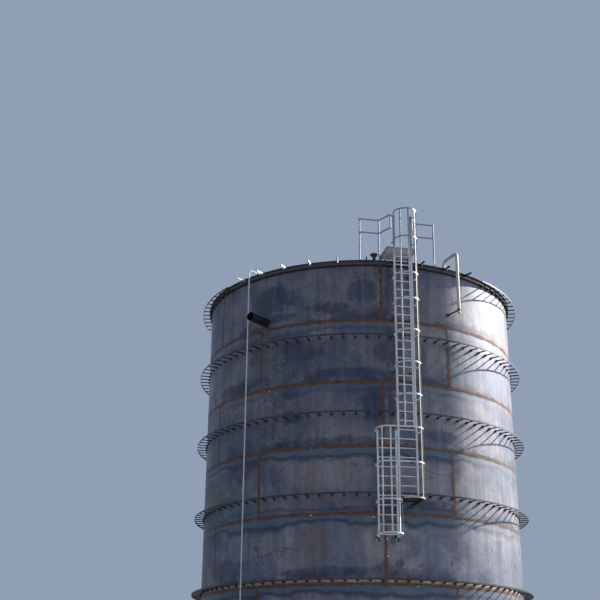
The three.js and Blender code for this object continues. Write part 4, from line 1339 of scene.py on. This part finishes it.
def vent():
    """A neck with a foot ring under a shallow domed cap."""
    root = roof_height(VENT_OUT)
    neck = spun([[0.055, root - 0.01], [0.055, TOP + 0.32]], 24)
    collar = spun([[0.085, -0.002], [0.085, 0.01], [0.06, 0.014]], 24, False, (0, root))
    cap = spun([[0.09, 0.25], [0.125, 0.29], [0.13, 0.3], [0.118, 0.322], [0.09, 0.338], [0.05, 0.347],
                [0.015, 0.35]], 32, False, (0, TOP))
    return moved_to(joined([neck, collar, cap]), (0, -VENT_OUT, 0))


stub_on_shell = aimed(stub(), (0, -RADIUS, STUB_HEIGHT), (0, -1, 0))
piece("stub", turned(stub_on_shell, STUB_TURN), BLACK_PIPE, "black_steel", "pipe_stub")
piece("thin_downpipe", turned(thin_pipe(), THIN_TURN), ZINC, "galvanised", "thin_pipe")
piece("stile_feet", lower(stile_feet(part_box("ladder_lower")[0].z)), BLACK_PIPE, "black_steel")
piece("vent", turned(vent(), VENT_TURN), RUSTY_PLATE, "black_steel", "roof_vent")

# %% [markdown]
# ## Studio and camera
# A wide pale floor, an even sky of soft light, and a key light from the right and a little behind,
# which leaves the front in soft shade as it falls on such a tank outdoors. A weak and very wide second
# light from the right softens the step between them. The camera stands low and looks up.

# %% Studio
FLOOR_HALF = 90.0
FLOOR_LOW = -0.001
corners = [(x * FLOOR_HALF, y * FLOOR_HALF, 0) for x, y in ((-1, -1), (1, -1), (1, 1), (-1, 1))]
floor_mesh = bpy.data.meshes.new("studio_floor")
floor_mesh.from_pydata(corners, [], [(0, 1, 2, 3)])
floor = placed("studio_floor", floor_mesh)
floor.location.z = FLOOR_LOW
floor_material, floor_where = finish("pale_floor", 0.0, 0.85)
floor_colour = mixed(fade(noise(floor_where, 0.3, 3.0), 0.3, 0.7), (146, 146, 144), (154, 154, 152))
floor_mesh.materials.append(dressed(floor_material, floor_colour))
floor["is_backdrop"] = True

world = bpy.data.worlds.new("studio")
world.use_nodes = True
world.node_tree.nodes["Background"].inputs["Color"].default_value = paint(190, 208, 236)
world.node_tree.nodes["Background"].inputs["Strength"].default_value = 0.55
bpy.context.scene.world = world


def lamp(name, turn, rise, energy, wide, colour):
    """A far lamp at an angle round the tank and above the floor. A wide one casts soft shadows."""
    light = bpy.data.lights.new(name, "SUN")
    light.energy = energy
    light.angle = math.radians(wide)
    light.color = colour
    placed(name, light).rotation_euler = (math.radians(90 - rise), 0, math.radians(turn))
    print(name, "light from", turn, "degrees round, risen by", rise)


lamp("key", 122, 32, 9.2, 1.2, (1.0, 0.955, 0.89))
lamp("fill", 98, 22, 1.15, 70, (0.88, 0.94, 1.0))

# %% Camera
FOCAL = 1071.7
IMAGE = 600
SENSOR = 36.0
PITCH, ROLL, YAW = 0.3665, 0.0096, -0.0577
EYE = (0.0, -36.825, 0.576)


def spin(angle):
    """A turn in the plane of the first two axes."""
    return np.array([[math.cos(angle), -math.sin(angle), 0], [math.sin(angle), math.cos(angle), 0], [0, 0, 1]])


look = np.array([[1, 0, 0], [0, math.sin(PITCH), -math.cos(PITCH)], [0, math.cos(PITCH), math.sin(PITCH)]])
rows = spin(ROLL) @ look @ spin(YAW)
axes = np.eye(4)
axes[:3, :3] = np.stack([rows[0], -rows[1], -rows[2]], axis=1)
axes[:3, 3] = EYE
camera_data = bpy.data.cameras.new("camera")
camera_data.sensor_width = SENSOR
camera_data.lens = SENSOR * FOCAL / IMAGE
camera_data.clip_end = 500
camera = placed("camera", camera_data)
camera.matrix_world = Matrix(axes.tolist())
bpy.context.scene.camera = camera
bpy.context.scene.view_settings.view_transform = "Standard"
print("lens", round(camera_data.lens, 2), "mm")

# %% The size of the whole scene at the end
low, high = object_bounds()
